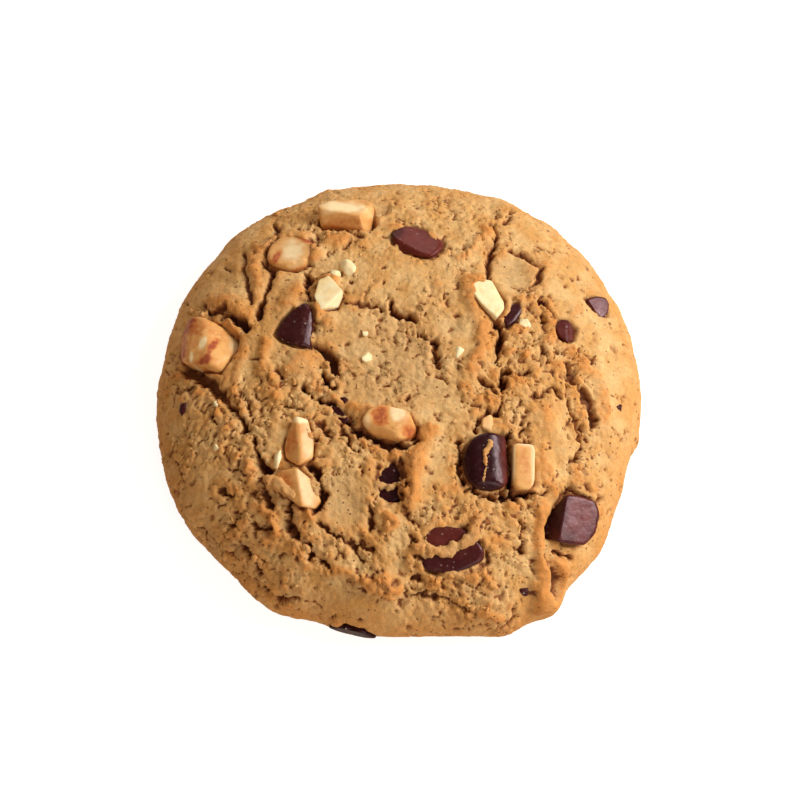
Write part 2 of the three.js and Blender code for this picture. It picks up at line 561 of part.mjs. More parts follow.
// A block cut back to a set of faces, each moved out by a margin.
function cutBlock(faces, margin) {
  return faces.reduce((left, { normal, reach }) => {
    const inward = normal.clone().negate().toArray();
    return left.trimByPlane(inward, -(reach + margin));
  }, solidOf(new THREE.BoxGeometry(BLOCK, BLOCK, BLOCK)));
}

// The pocket of a morsel: open above, or the morsel's own form where dough laps over it.
function pocketOf(morsel) {
  const faces = morsel.lapped ? facesOf(morsel) : [floorOf(morsel), ...wallsOf(morsel)];
  return cutBlock(faces, GAP);
}

// Where a morsel's middle sits: under its place on the dome, so that its top stands proud.
function morselPlace({ corners, proud, thick }) {
  const seat = new THREE.Matrix4().makeTranslation(0, 0, proud - thick / 2);
  return bodyFrame(...middleOf(corners)).multiply(seat).elements;
}

// A small nut bit, half sunk in the dough.
function bitSolid({ at, across, long, turn, proud }) {
  const stone = new THREE.IcosahedronGeometry(across / 2, 0).scale(1, long, 1).rotateZ(radians(turn));
  const seat = bodyFrame(...at).multiply(new THREE.Matrix4().makeTranslation(0, 0, proud - across / 2));
  return solidOf(stone.applyMatrix4(seat));
}

// ---------------------------------------------------------------- the cookie
function namedMesh(name, geometry, finish) {
  const mesh = new THREE.Mesh(geometry, new THREE.MeshStandardMaterial(finish));
  mesh.name = name;
  return mesh;
}

const cookie = new THREE.Group();

let dough = doughSolid();
for (const bit of BITS) dough = dough.add(bitSolid(bit));
for (const [name, morsel] of Object.entries(MORSELS)) {
  const place = morselPlace(morsel);
  dough = dough.subtract(pocketOf(morsel).transform(place));
  const solid = cutBlock(facesOf(morsel), 0).transform(place);
  cookie.add(namedMesh(name, geometryOf(solid), morsel.finish));
}
cookie.add(namedMesh("dough", geometryOf(largestPiece(dough)), DOUGH));

export default cookie;
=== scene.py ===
"""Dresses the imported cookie: craggy baked dough, dark chocolate chunks, chopped roasted nuts and crumbs.

Lengths are in millimetres until a mesh is made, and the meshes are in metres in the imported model's frame.
A place on the cookie is a chart point (u, v): the distance from the crown along the surface, u to the
right and v away from the front.
"""
import logging
import math
from dataclasses import dataclass, field
from enum import Enum

import bmesh
import bpy
import numpy as np
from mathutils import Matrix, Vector


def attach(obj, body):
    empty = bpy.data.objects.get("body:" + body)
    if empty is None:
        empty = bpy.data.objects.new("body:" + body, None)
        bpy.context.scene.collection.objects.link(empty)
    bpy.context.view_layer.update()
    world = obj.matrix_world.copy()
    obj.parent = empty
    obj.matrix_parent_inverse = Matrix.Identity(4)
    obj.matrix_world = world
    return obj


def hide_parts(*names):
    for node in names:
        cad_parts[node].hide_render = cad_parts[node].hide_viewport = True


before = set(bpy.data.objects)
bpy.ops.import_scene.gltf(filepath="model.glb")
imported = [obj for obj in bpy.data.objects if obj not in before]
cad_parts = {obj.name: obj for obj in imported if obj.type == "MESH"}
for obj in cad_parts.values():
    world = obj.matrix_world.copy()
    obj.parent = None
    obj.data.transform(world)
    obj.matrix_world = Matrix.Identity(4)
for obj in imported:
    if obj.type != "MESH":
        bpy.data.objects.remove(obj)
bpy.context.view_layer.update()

log = logging.getLogger("cookie")

MM = 0.001  # one millimetre, in metres
BODY = "root"
SEED = 11
HASH = (374761393, 668265263, 974634777, 1274126177)  # large odd numbers that scatter whole coordinates
CELL_BORDER = 0.38  # how far a cell's border reaches into it, as a share of its width
SIDE_DRAFT = 0.12  # how far a morsel's sides lean in for each millimetre down
Colour = tuple[float, float, float]
Place = tuple[float, float]
Places = tuple[np.ndarray, np.ndarray]
Socket = bpy.types.NodeSocket
Tree = bpy.types.NodeTree
Piece = bpy.types.Object
Material = bpy.types.Material


# ------------------------------------------------------------------------------- small mathematics
def srgb(red: int, green: int, blue: int) -> Colour:
    """Turns an 8-bit screen colour into linear light.

    Args:
        red: red, 0 to 255.
        green: green, 0 to 255.
        blue: blue, 0 to 255.

    Returns:
        The three linear values.
    """
    def linear(value: int) -> float:
        """Turns one channel, 0 to 255, into linear light."""
        share = value / 255
        return share / 12.92 if share <= 0.04045 else ((share + 0.055) / 1.055) ** 2.4

    return linear(red), linear(green), linear(blue)


def smooth(low: float, high: float, x: np.ndarray) -> np.ndarray:
    """Rises smoothly from 0 at low to 1 at high.

    Args:
        low: where the rise starts.
        high: where it ends; below low, the curve falls instead.
        x: the values to map.

    Returns:
        The mapped values, 0 to 1.
    """
    t = np.clip((x - low) / (high - low), 0, 1)
    return t * t * (3 - 2 * t)


def dome(share: np.ndarray) -> np.ndarray:
    """Gives a rounded bump: 1 at share 0, and 0 from share 1 on."""
    return np.clip(1 - share * share, 0, 1) ** 2


def bell(away: np.ndarray, wide: float) -> np.ndarray:
    """Gives a bump that never quite ends: 1 at away 0, and about a third at away wide."""
    return np.exp(-((away / wide) ** 2))


def lattice(i: np.ndarray, j: np.ndarray, seed: int) -> np.ndarray:
    """Gives a repeatable number from 0 to 1 for each lattice point.

    Args:
        i: first whole coordinate.
        j: second whole coordinate.
        seed: another seed gives other numbers.

    Returns:
        One number for each point.
    """
    by_i, by_j, by_seed, by_mix = HASH
    h = i.astype(np.int64) * by_i + j.astype(np.int64) * by_j + seed * by_seed
    h = ((h ^ (h >> 13)) * by_mix) & 0x7FFFFFFF
    return ((h ^ (h >> 16)) & 0xFFFF) / 0xFFFF


def noise(u: np.ndarray, v: np.ndarray, grain: float, seed: int) -> np.ndarray:
    """Gives smooth noise from -1 to 1 on the chart.

    Args:
        u: chart coordinates.
        v: chart coordinates.
        grain: width of a bump, in millimetres.
        seed: another seed gives another pattern.

    Returns:
        The noise at each place.
    """
    i = np.floor(u / grain)
    j = np.floor(v / grain)
    s = smooth(0, 1, u / grain - i)
    t = smooth(0, 1, v / grain - j)
    near = lattice(i, j, seed) * (1 - s) + lattice(i + 1, j, seed) * s
    far = lattice(i, j + 1, seed) * (1 - s) + lattice(i + 1, j + 1, seed) * s
    return 2 * (near * (1 - t) + far * t) - 1


def cells(u: np.ndarray, v: np.ndarray, size: float, seed: int) -> tuple[np.ndarray, ...]:
    """Splits the chart into random cells, as dough splits into nuggets and crumbs.

    Args:
        u: chart coordinates.
        v: chart coordinates.
        size: usual width of a cell, in millimetres.
        seed: another seed gives other cells.

    Returns:
        The middle of each place's cell along u and along v, how far inside the cell the place is (0 on
        its border, 1 well inside), and a number from 0 to 1 for the cell.
    """
    i, j = np.floor(u / size), np.floor(v / size)
    nearest, second = np.full(u.shape, np.inf), np.full(u.shape, np.inf)
    middle_u, middle_v, pick = np.zeros_like(u), np.zeros_like(u), np.zeros_like(u)
    for di in (-1, 0, 1):
        for dj in (-1, 0, 1):
            cu = (i + di + lattice(i + di, j + dj, seed)) * size
            cv = (j + dj + lattice(i + di, j + dj, seed + 1)) * size
            away = np.hypot(u - cu, v - cv)
            nearer = away < nearest
            second = np.where(nearer, nearest, np.minimum(second, away))
            nearest = np.where(nearer, away, nearest)
            middle_u, middle_v = np.where(nearer, cu, middle_u), np.where(nearer, cv, middle_v)
            pick = np.where(nearer, lattice(i + di, j + dj, seed + 2), pick)
    return middle_u, middle_v, smooth(0, CELL_BORDER, (second - nearest) / size), pick


@dataclass(frozen=True)
class Ripple:
    """Smooth noise with a bump's width in millimetres, a strength and a seed of its own."""

    wide: float
    strength: float
    seed: int

    def at(self, u: np.ndarray, v: np.ndarray, shift: int = 0) -> np.ndarray:
        """Gives the noise at chart places, from -strength to strength. Each shift is another pattern."""
        return self.strength * noise(u, v, self.wide, SEED + self.seed + shift)


# ------------------------------------------------------------------------------- the plain body
@dataclass(frozen=True)
class Lobe:
    """One gentle swelling of the cookie's outline: toward and spread in degrees, out in millimetres."""

    toward: float
    spread: float
    out: float


@dataclass
class Body:
    """The plain dome that everything else stands on, in millimetres.

    waist is the height at which it is widest, and foot how far the base is tucked in under it. A higher
    dome_power gives a fuller shoulder, crowding sets the dome's steps closer towards the rim, and
    lobe_power keeps the lobes near the rim. wide and high are the radius and the height of each step, and
    reach its distance from the crown along the surface.
    """

    radius: float = 45.55
    crown: float = 19
    waist: float = 3.5
    foot: float = 3
    dome_power: float = 3
    crowding: float = 2.2
    lobe_power: float = 3
    dome_steps: int = 240
    edge_steps: int = 24
    lobes: tuple[Lobe, ...] = (
        Lobe(296, 14, 3.6), Lobe(320, 13, 1.9), Lobe(345, 13, -1.1), Lobe(50, 24, 1.0),
        Lobe(135, 22, 0.9), Lobe(238, 9, 1.0), Lobe(205, 20, 0.4), Lobe(304, 4, 1.8), Lobe(293, 4, 0.8),
        Lobe(331, 5, -0.6), Lobe(350, 4, 0.7), Lobe(63, 5, 0.6), Lobe(97, 8, -0.5), Lobe(107.5, 2.5, 0.8),
        Lobe(165, 8, -0.45), Lobe(192, 8, -0.35), Lobe(243, 5, 0.7), Lobe(262, 7, 0.5),
        Lobe(213, 5, 0.4), Lobe(228, 6, -0.3),
    )
    reach: np.ndarray = field(init=False)
    wide: np.ndarray = field(init=False)
    high: np.ndarray = field(init=False)
    to_waist: float = field(init=False)
    to_foot: float = field(init=False)

    def __post_init__(self) -> None:
        """Works out the side from crown to base: dome, waist and tucked foot."""
        share = 1 - (1 - np.arange(self.dome_steps + 1) / self.dome_steps) ** self.crowding
        dome_high = self.waist + (self.crown - self.waist) * np.sqrt(1 - share ** self.dome_power)
        turn = np.arange(1, self.edge_steps + 1) / self.edge_steps * math.pi / 2
        edge_high = self.waist * (1 - np.sin(turn))
        self.wide = np.concatenate([self.radius * share, self.radius - self.foot * (1 - np.cos(turn))])
        self.high = np.concatenate([dome_high, edge_high])
        steps = np.hypot(np.diff(self.wide), np.diff(self.high))
        self.reach = np.concatenate([[0], np.cumsum(steps)])
        self.to_waist = float(self.reach[self.dome_steps])
        self.to_foot = float(self.reach[-1])

    def lobe(self, angle: np.ndarray) -> np.ndarray:
        """Gives how far the outline stands out in each direction.

        Args:
            angle: directions in radians.

        Returns:
            Distances in millimetres.
        """
        full_turn, half_turn = 360, 180
        out = np.zeros_like(angle)
        for lobe in self.lobes:
            away = np.degrees(angle) - lobe.toward + (full_turn + half_turn)
            out += lobe.out * bell(away % full_turn - half_turn, lobe.spread)
        return out

    def ring(self, angle: np.ndarray, radius: np.ndarray, height: np.ndarray) -> np.ndarray:
        """Places points by direction in radians, radius before the lobes and height, one a row."""
        out = radius + self.lobe(angle) * (radius / self.radius) ** self.lobe_power
        return np.stack([out * np.cos(angle), out * np.sin(angle), height], axis=-1)

    def point(self, u: np.ndarray, v: np.ndarray) -> np.ndarray:
        """Gives the plain body's points at chart places.

        Args:
            u: chart coordinates.
            v: chart coordinates.

        Returns:
            Points, one a row.
        """
        u, v = np.asarray(u, float), np.asarray(v, float)
        away = np.hypot(u, v)
        radius = np.interp(away, self.reach, self.wide)
        height = np.interp(away, self.reach, self.high)
        return self.ring(np.arctan2(v, u), radius, height)

    def axes(self, u: np.ndarray, v: np.ndarray) -> tuple[np.ndarray, np.ndarray, np.ndarray]:
        """Gives the plain body's directions at chart places.

        Args:
            u: chart coordinates.
            v: chart coordinates.

        Returns:
            Unit vectors along u, across it and out of the surface. They mean nothing on the base.
        """
        step, margin = 0.05, 0.5
        u = np.where(np.hypot(u, v) < self.to_foot + margin, u, 1.0)
        along = self.point(u + step, v) - self.point(u - step, v)
        across = self.point(u, v + step) - self.point(u, v - step)
        along /= np.linalg.norm(along, axis=-1, keepdims=True)
        out = np.cross(along, across)
        out /= np.linalg.norm(out, axis=-1, keepdims=True)
        return along, np.cross(out, along), out


# ------------------------------------------------------------------------------- relief of the dough
@dataclass(frozen=True)
class Path:
    """A line on the chart with the width and the height (or depth) of what follows it."""

    points: tuple[Place, ...]
    wide: float
    high: float

    def away(self, u: np.ndarray, v: np.ndarray) -> np.ndarray:
        """Gives the distance from each chart place to the line.

        Args:
            u: chart coordinates.
            v: chart coordinates.

        Returns:
            Distances in millimetres.
        """
        least = np.full(u.shape, np.inf)
        for (x0, y0), (x1, y1) in zip(self.points, self.points[1:]):
            dx, dy = x1 - x0, y1 - y0
            t = np.clip(((u - x0) * dx + (v - y0) * dy) / (dx * dx + dy * dy), 0, 1)
            least = np.minimum(least, np.hypot(u - x0 - t * dx, v - y0 - t * dy))
        return least


@dataclass(frozen=True)
class Patch:
    """An oval on the chart: half sizes, turn in degrees from u, and a height or a strength."""

    at: Place
    half: Place
    turn: float
    high: float

    def share(self, u: np.ndarray, v: np.ndarray) -> np.ndarray:
        """Gives how far out of the oval's middle each chart place is.

        Args:
            u: chart coordinates.
            v: chart coordinates.

        Returns:
            0 in the middle, 1 on the oval's edge, and more outside it.
        """
        cos, sin = math.cos(math.radians(self.turn)), math.sin(math.radians(self.turn))
        x, y = u - self.at[0], v - self.at[1]
        return np.hypot((cos * x + sin * y) / self.half[0], (cos * y - sin * x) / self.half[1])


# Cracks, each with its width and depth.
CRACKS = (
    Path(((-10.2, 13.6), (-7.5, 13.3), (-5.5, 13.5), (-4.2, 12.8), (-2.8, 12.3)), 0.7, 0.9),
    Path(((-1.4, 13.8), (-1, 12), (0.3, 11), (2.5, 10.3)), 1.1, 1.8),
    Path(((2.2, 8.4), (4.2, 7), (6.2, 5.8), (7.4, 5.2)), 1.3, 2.2),
    Path(((6.5, 5), (7, 2.5), (7.3, 0.5)), 1.5, 1.0),
    Path(((7, -1.7), (8.7, -2.8)), 0.6, 0.6),
    Path(((-15, 4.8), (-13.2, 3.5), (-12, 1.8), (-11.2, -0.5)), 1.4, 1.8),
    Path(((-14.2, 0.5), (-13.5, -1.5), (-12.4, -3.6)), 1.1, 2.2),
    Path(((-17.3, -3.2), (-15.8, -5), (-14, -6.3), (-12, -7), (-10.2, -9), (-8.5, -11.5), (-6, -12.8),
          (-2, -14.6), (1, -15), (3.6, -13.8)), 1.5, 2.0),
    Path(((-10.5, -11), (-9.5, -13), (-8.5, -14.8), (-7, -16)), 0.9, 1.3),
    Path(((-16.6, -9.8), (-15.5, -12), (-14.8, -13.4)), 0.9, 1.3),
    Path(((-14, -10.2), (-12.8, -12.2)), 1.0, 1.2),
    Path(((14.5, -1.6), (15.8, -2.5), (16.9, -3.2), (17.5, -4.3)), 0.8, 0.9),
    Path(((18.4, 10), (18.9, 7), (18.3, 4), (18.3, 1.5), (19.3, -0.5), (19, -3.2)), 1.4, 2.4),
    Path(((19, -3.2), (18.6, -6), (18.1, -8.6)), 2.2, 2.2),
    Path(((18.1, -8.6), (16, -8.3), (14.8, -9.5), (13.9, -11.5)), 1.1, 1.4),
    Path(((-22, -0.3), (-21.5, -1.5)), 0.8, 0.8),
    Path(((-20.8, -6.5), (-18.8, -7.2), (-17, -8)), 1.0, 1.1),
    Path(((-31.5, -5), (-30, -7), (-28.8, -9.2), (-28, -11)), 0.9, 1.3),
    Path(((-28, -11), (-26.5, -13.2), (-25.8, -15.5), (-24.5, -18), (-23, -21)), 1.3, 1.9),
    Path(((-24.2, -23.2), (-23.2, -25.6)), 1.1, 1.6),
    Path(((-19.6, -25), (-20, -28), (-19.5, -29), (-17.8, -31.2)), 1.4, 1.5),
    Path(((-17.8, -31.2), (-16, -32.8), (-14.8, -35.5), (-12.8, -37.2)), 1.0, 1.4),
    Path(((-25.8, -4.3), (-25.2, -5.2)), 0.8, 0.8),
    Path(((-27, -28.6), (-25, -29.2), (-23, -30)), 0.7, 0.9),
    Path(((-32.5, -21.8), (-30.8, -22.8)), 0.8, 0.9),
    Path(((-30.2, -26.2), (-29.2, -27.2)), 0.8, 1.0),
    Path(((-32.2, -28.5), (-31, -29)), 1.0, 0.9),
    Path(((-30.5, -32.2), (-29.2, -33.5), (-28, -34.5)), 1.0, 1.1),
    Path(((-27.2, -35.8), (-25.8, -37.5)), 0.9, 1.1),
    Path(((-25.5, -40.2), (-24.5, -41.5), (-23.2, -42), (-19.5, -42.5)), 0.8, 0.9),
    Path(((-13.8, -29), (-12, -31), (-10, -32.5), (-8.2, -33.1)), 0.9, 1.2),
    Path(((-8.2, -33.1), (-7, -32.5), (-5.5, -33.5), (-5, -34.2)), 0.9, 1.2),
    Path(((-8, -34.2), (-7, -35.5), (-6, -36.5)), 0.9, 1.1),
    Path(((-4.5, -26.2), (-5.1, -28.5), (-5.2, -30.5)), 0.9, 1.2),
    Path(((0.5, -26.5), (1.2, -27.8), (2.2, -28.5), (3.3, -29.3), (4.2, -30)), 0.7, 0.9),
    Path(((2.7, -31.8), (3.2, -33.5), (3.6, -35.6)), 1.1, 1.4),
    Path(((4, -38.5), (2.6, -39.5)), 1.1, 1.4),
    Path(((2.5, -42), (4.5, -41.8), (6, -42.4), (8.5, -42.6), (9.8, -43), (13, -44)), 1.0, 1.0),
    Path(((29.6, -22.4), (31, -21.6), (32.4, -22.2), (34.5, -23), (36.6, -23.6), (38.4, -22.8)), 1.0, 1.6),
    Path(((28.3, -32.5), (29.5, -33), (31.5, -33.2)), 1.0, 1.3),
    Path(((21.9, -28), (20.8, -30.5), (20.5, -32)), 0.9, 1.2),
    Path(((20.5, -41.5), (20.5, -44), (19, -46)), 1.2, 0.9),
    Path(((18.6, -23.5), (20.6, -23.4), (22.6, -23.3), (24.4, -22.9), (26.4, -22.6)), 1.2, 2.6),
    Path(((-24.2, 35.8), (-24, 33.5), (-23.2, 30.5), (-22.8, 29)), 0.9, 0.9),
    Path(((-22.8, 29), (-24, 26.5), (-25, 25.2), (-24.5, 22.5), (-23.2, 21.2)), 1.1, 1.3),
    Path(((-23.2, 21.2), (-23.8, 19), (-24.3, 17), (-25.5, 14), (-26, 11)), 1.5, 2.0),
    Path(((-17.3, 20), (-16.5, 17.5), (-16.3, 14.5)), 1.5, 1.8),
    Path(((-29.4, 27), (-28.9, 23.5), (-29, 21), (-28.3, 18), (-27.5, 15)), 0.9, 0.8),
    Path(((-33.4, 25), (-31.8, 22.8)), 0.7, 0.7),
    Path(((-37, 16), (-35.4, 14.6), (-33.2, 14.4)), 1.6, 1.4),
    Path(((-31.8, 13), (-30, 11.5), (-28, 9.2)), 2.0, 1.9),
    Path(((-41.2, 3.2), (-39, 1.9), (-37.5, 0.6), (-34.5, -1.4), (-32.8, -3.8)), 2.6, 1.5),
    Path(((-41.5, -1.2), (-38.8, -1)), 0.8, 0.7),
    Path(((-15, 29), (-15.1, 27), (-15, 25.5)), 1.0, 1.1),
    Path(((-15, 33), (-12, 31), (-8.5, 30), (-7.5, 28.5), (-9, 27), (-10, 25.8)), 0.8, 0.8),
    Path(((11.8, 21), (11.6, 19)), 0.9, 0.8),
    Path(((17, 32), (18.2, 29.8), (18, 27.2), (17.5, 25), (17, 23.5), (16.5, 21), (16.2, 18.8)), 1.1, 1.5),
    Path(((21.5, 37), (20.8, 34), (19.8, 32.5)), 1.2, 1.1),
    Path(((21, 26), (23.5, 25), (25, 23.8), (26.6, 22.6), (26, 21.5), (25.8, 19), (24, 17.2), (22.8, 17.2)),
         1.1, 1.2),
    Path(((26.4, 17), (26.3, 15.5)), 0.9, 1.1),
    Path(((26.5, 14.5), (27.8, 13.3), (29, 12)), 1.3, 1.5),
    Path(((26.3, 11.8), (27, 10.5), (27.3, 9)), 0.9, 1.1),
    Path(((31.2, 2.2), (31.8, 1), (31.8, -0.5), (33.5, -2), (34.8, -2.8), (35.2, -4), (35.8, -6), (36.5, -9)),
         1.7, 1.5),
    Path(((33.5, 5.5), (35, 4.5), (36.5, 3.2)), 0.9, 0.8),
    Path(((19.5, 0), (21, -0.5), (22.5, 0), (24, 0.3)), 1.1, 1.3),
    Path(((26.7, 4), (27.5, 3), (27.2, 1.2)), 0.9, 0.9),
    Path(((24.5, -4.7), (26, -4.5), (27, -3.6), (28.2, -2.5), (29.9, -4.5)), 0.7, 0.8),
    Path(((31.5, -5), (31.6, -6.5), (32.3, -8), (33.8, -11), (34, -13), (33.2, -16.3), (31.5, -16.5)),
         0.8, 1.1),
    Path(((34.2, -10), (35.5, -12.5)), 0.9, 0.9),
    Path(((23, -8), (22.3, -12), (23, -13.5)), 0.6, 0.6),
    Path(((-15.6, -18.6), (-14.4, -21), (-13.7, -23.4), (-14.4, -25.8)), 2.2, 2.6),
    Path(((20, -12.6), (20, -18), (20, -23)), 0.9, 3.0),
    Path(((10.9, -14.2), (10.7, -17.6), (11.2, -20.8)), 0.7, 1.6),
    Path(((12, -22.4), (14.4, -23.5), (18.8, -23.3)), 0.8, 1.6),
    Path(((-3.4, -18.4), (-4.2, -21.5), (-3.6, -25.4)), 1.3, 1.5),
    Path(((0.6, -18.4), (1.3, -21.5), (0.6, -25.2)), 0.9, 1.0),
)
# Folds, each with its width and height.
FOLDS = (
    Path(((24.8, -23.8), (25.8, -26.6), (24.2, -29.6), (23, -32.6), (24.8, -36), (23.8, -39), (25.6, -42.4)),
         3.6, 1.1),
    Path(((28.8, -34), (29.4, -38), (27.6, -42)), 3.4, 1.1),
    Path(((12.5, 20), (14, 14), (15.5, 8), (14.5, 3), (14, -0.5)), 4.0, 0.8),
    Path(((27.5, 12.5), (29, 8.5), (31, 5.8), (34, 3.8), (36, 1.5), (38, -2), (38.5, -6)), 3.0, 0.7),
    Path(((-24.5, 5), (-24, 0), (-23.3, -5)), 3.2, 0.8),
    Path(((-29, 4), (-29, -2), (-28.5, -8)), 3.0, 0.5),
    Path(((-27, 27), (-26.8, 23), (-26.5, 18)), 3.0, 0.8),
    Path(((-27.5, -18), (-26, -22), (-25, -26), (-23, -29)), 2.8, 0.9),
    Path(((5, -14), (3.5, -18), (2, -21), (2.5, -25)), 4.6, 1.2),
    Path(((-24, -31), (-19, -33.6), (-14, -38), (-8, -39.4)), 3.6, 0.6),
    Path(((-9.8, -6.2), (-7, -7), (-4.5, -7.4)), 3.4, 0.9),
    Path(((13, 24), (14.4, 27), (16, 30)), 3.2, 0.5),
)
# Strands of dough that lie over chunks and nut pieces, each with its width and its height above the dome.
STRANDS = (
    Path(((3.6, -33.4), (5.6, -34.3), (8, -33.9), (10.6, -32.4), (12.6, -30.4), (13.6, -27.5)), 2.6, 1.3),
    Path(((16, -14.6), (15.5, -16), (15.3, -17.8), (14.9, -19.4), (14.4, -20.8)), 1.3, 1.75),
    Path(((-23.2, -20.8), (-21, -22.4), (-18.8, -24)), 2.6, 1.6),
    Path(((-4.2, -21.9), (-1.8, -22.4), (1.4, -21.8)), 1.6, 0.1),
    Path(((-12.9, -9.3), (-11.2, -8.7), (-9.4, -9.4)), 1.0, -0.1),
)
# Lumps, each with its height.
LUMPS = (
    Patch((-3.2, -41), (4.6, 3.1), 0, 2.3), Patch((-1, -29), (2.4, 3.6), 0, 0.9),
    Patch((2, -36), (2, 2.6), 0, 0.7), Patch((7, -24), (3, 3), 0, 0.7),
    Patch((14, -26), (2.8, 2.2), 20, 0.6), Patch((8, -40), (3.2, 2.4), 0, 0.8),
    Patch((12, -37.4), (3.2, 2.4), 20, 0.7), Patch((15.6, -36), (2.2, 2), 0, 0.7),
    Patch((16, -44), (3, 2), 10, 0.6), Patch((27.5, -9.5), (4.4, 6.2), 0, 0.8),
    Patch((27, -17.5), (2.9, 4), 0, 1.0), Patch((-34, 17), (6.4, 3.2), -35, 0.9),
    Patch((-29.6, 12.6), (3.4, 2.4), -40, 0.8), Patch((-20.5, 15), (2.6, 4.6), -10, 0.9),
    Patch((-18, 2), (3.8, 2.9), 10, 0.8), Patch((-12, 28), (2.6, 2.2), 0, 0.8),
    Patch((22.5, 8), (2.4, 2.6), 0, 0.8), Patch((20.7, 2.6), (1.5, 1.5), 0, 0.5),
    Patch((23.9, 3), (2, 2), 0, 0.7), Patch((23, 15), (2, 2), 0, 0.7),
    Patch((22, -2.6), (2.3, 2.1), 0, 0.7), Patch((26, -0.8), (2.1, 2.1), 0, 0.7),
    Patch((29, 1.5), (1.9, 2), 0, 0.6), Patch((13.3, -4.2), (2, 3.4), 12, 0.8),
    Patch((-33, -6.6), (1.6, 1.5), 0, 0.6), Patch((-31, -10), (1.7, 1.6), 0, 0.6),
    Patch((-32, -13), (1.6, 1.5), 0, 0.6), Patch((-30, -16), (1.6, 1.8), 0, 0.6),
    Patch((-28, -20.4), (1.5, 1.8), 0, 0.5), Patch((-27, -25), (1.5, 1.5), 0, 0.5),
    Patch((-24, -28), (1.5, 1.4), 0, 0.5), Patch((-22, -9.6), (1.7, 2.2), 0, 0.5),
    Patch((-12.6, 9.4), (2.0, 3.0), 0, 0.6), Patch((9, 16.6), (4.2, 2.4), -30, 0.5),
    Patch((-4, 17.4), (4.6, 2.4), 8, 0.4), Patch((-12, -35), (2.0, 2.0), 0, 0.6),
    Patch((33, 14), (2.4, 2), 30, 0.5), Patch((35, -19), (2.4, 2.6), 0, 0.6),
)
# Hollows, each with its depth.
HOLLOWS = (
    Patch((21.6, 21.4), (4.2, 4.2), 0, 1.1), Patch((26.4, -37), (1.6, 3), 0, 1.2),
    Patch((-8.5, -10.5), (1.7, 1.6), 0, 1.2), Patch((17, 34.2), (1.3, 1.5), 0, 1.3),
    Patch((-3, 36), (1.8, 1.5), 0, 0.8), Patch((-20.6, -27.6), (1.7, 1.6), 0, 1.2),
    Patch((-10, -25), (4.6, 6), 0, 0.7), Patch((25, -24.2), (1, 1), 0, 0.5),
    Patch((0, 2), (12.5, 11.5), 0, 0.5), Patch((-33.2, 13.4), (1.5, 1.1), -30, 0.9),
    Patch((-28.6, 9.6), (1.2, 1), -40, 0.8), Patch((1.6, -42.4), (1.3, 1.8), 20, 0.9),
    Patch((-38, -31), (3, 4.6), 20, 0.6), Patch((-34, -7.7), (0.8, 1.0), 0, 0.8),
    Patch((-29, -33), (2.4, 2.2), 0, 0.5), Patch((9.6, 9.6), (2.4, 2.2), 0, 0.4),
    Patch((22.4, -34), (1.1, 3.2), 0, 0.8), Patch((-13, -12.2), (1.2, 1.6), 20, 0.8),
)
# Pits, each a small round hole.
PITS = (
    (-8.8, 18.5), (-2.7, 18), (4.5, 13.4), (5.2, 21), (3.2, 37), (34.1, 22), (31, 19), (32.4, 21.2),
    (36.8, 26), (-2.5, -3.7), (-3.9, 8), (-8.3, -0.8), (8.5, -5.2), (-0.9, -45.2), (0.6, -44.2),
    (-7.5, -47), (17.5, -39.2), (17.5, -41.5), (29.1, 4), (-3.5, -35.5), (26.5, 22), (24, 17.2),
)
# Where the surface breaks into nuggets (strength above 0) or stays smooth (below 0).
TEXTURES = (
    Patch((23, 2), (7, 16), 0, 0.9), Patch((10, -38), (12, 9), 0, 0.8),
    Patch((-29, -12), (7, 20), 12, 0.8), Patch((-22, -34), (12, 8), -25, 0.5),
    Patch((34, -6), (4, 12), 0, 0.7), Patch((15, -27), (10, 4), 0, 0.7),
    Patch((21.6, 21.4), (5, 5), 0, -0.8), Patch((-18, 2), (5, 4), 0, -0.6),
    Patch((-10, -25), (5.5, 7), 0, -0.6), Patch((-32, 18), (9, 5), -35, -0.4),
    Patch((4, -18), (4, 9), 0, -0.5), Patch((24.5, -32), (3, 12), 0, -0.5),
    Patch((27.5, -12), (5, 10), 0, -0.4), Patch((14, 10), (3, 14), 0, -0.3),
    Patch((-31, 24), (9, 16), 38, -0.8), Patch((-21, 15), (4, 8), -10, -0.5),
    Patch((-27, 2), (5, 9), 0, -0.4), Patch((36, 20), (8, 14), -30, -0.5),
    Patch((-18, -18), (6, 8), 0, -0.3), Patch((-42, -16), (6, 14), -20, 0.7),
    Patch((0, 3), (12, 11), 0, 0.3), Patch((-35, -32), (7, 11), 40, 0.6),
    Patch((-20, -45), (13, 5), -20, 0.4), Patch((12, -48), (12, 4), 8, 0.35),
    Patch((-44, 6), (4, 12), 0, 0.35), Patch((12, 36), (10, 5), -20, 0.35),
)


# ------------------------------------------------------------------------------- morsels
class Kind(Enum):
    """What a morsel is made of; the value goes into the name of its bits' piece."""

    CHOCOLATE = "chocolate"
    ROASTED = "roasted_nut"
    PALE = "pale_nut"


def soft_radius(aim: np.ndarray, normals: np.ndarray, reaches: np.ndarray, hard: float) -> np.ndarray:
    """Gives the distance from the middle of a flat-faced solid to its softened surface.

    Args:
        aim: unit vectors to look along, one a row.
        normals: unit normals of the faces, one a row.
        reaches: distance of each face from the middle.
        hard: how sharp the edges are.

    Returns:
        One distance for each vector.
    """
    pull = np.clip(aim @ normals.T / reaches, 0, None)
    return np.sum(pull ** hard, axis=-1) ** (-1 / hard)


def spread(count: int) -> np.ndarray:
    """Spreads directions evenly over a ball.

    Args:
        count: how many.

    Returns:
        Unit vectors, one a row.
    """
    step = np.arange(count) + 0.5
    up = 1 - 2 * step / count
    turn = math.pi * (1 + math.sqrt(5)) * step
    flat = np.sqrt(1 - up * up)
    return np.stack([flat * np.cos(turn), flat * np.sin(turn), up], axis=1)


@dataclass(frozen=True)
class Facet:
    """One flat face of a morsel: where it looks, in degrees, and its distance from the morsel's middle."""

    toward: float
    up: float
    reach: float


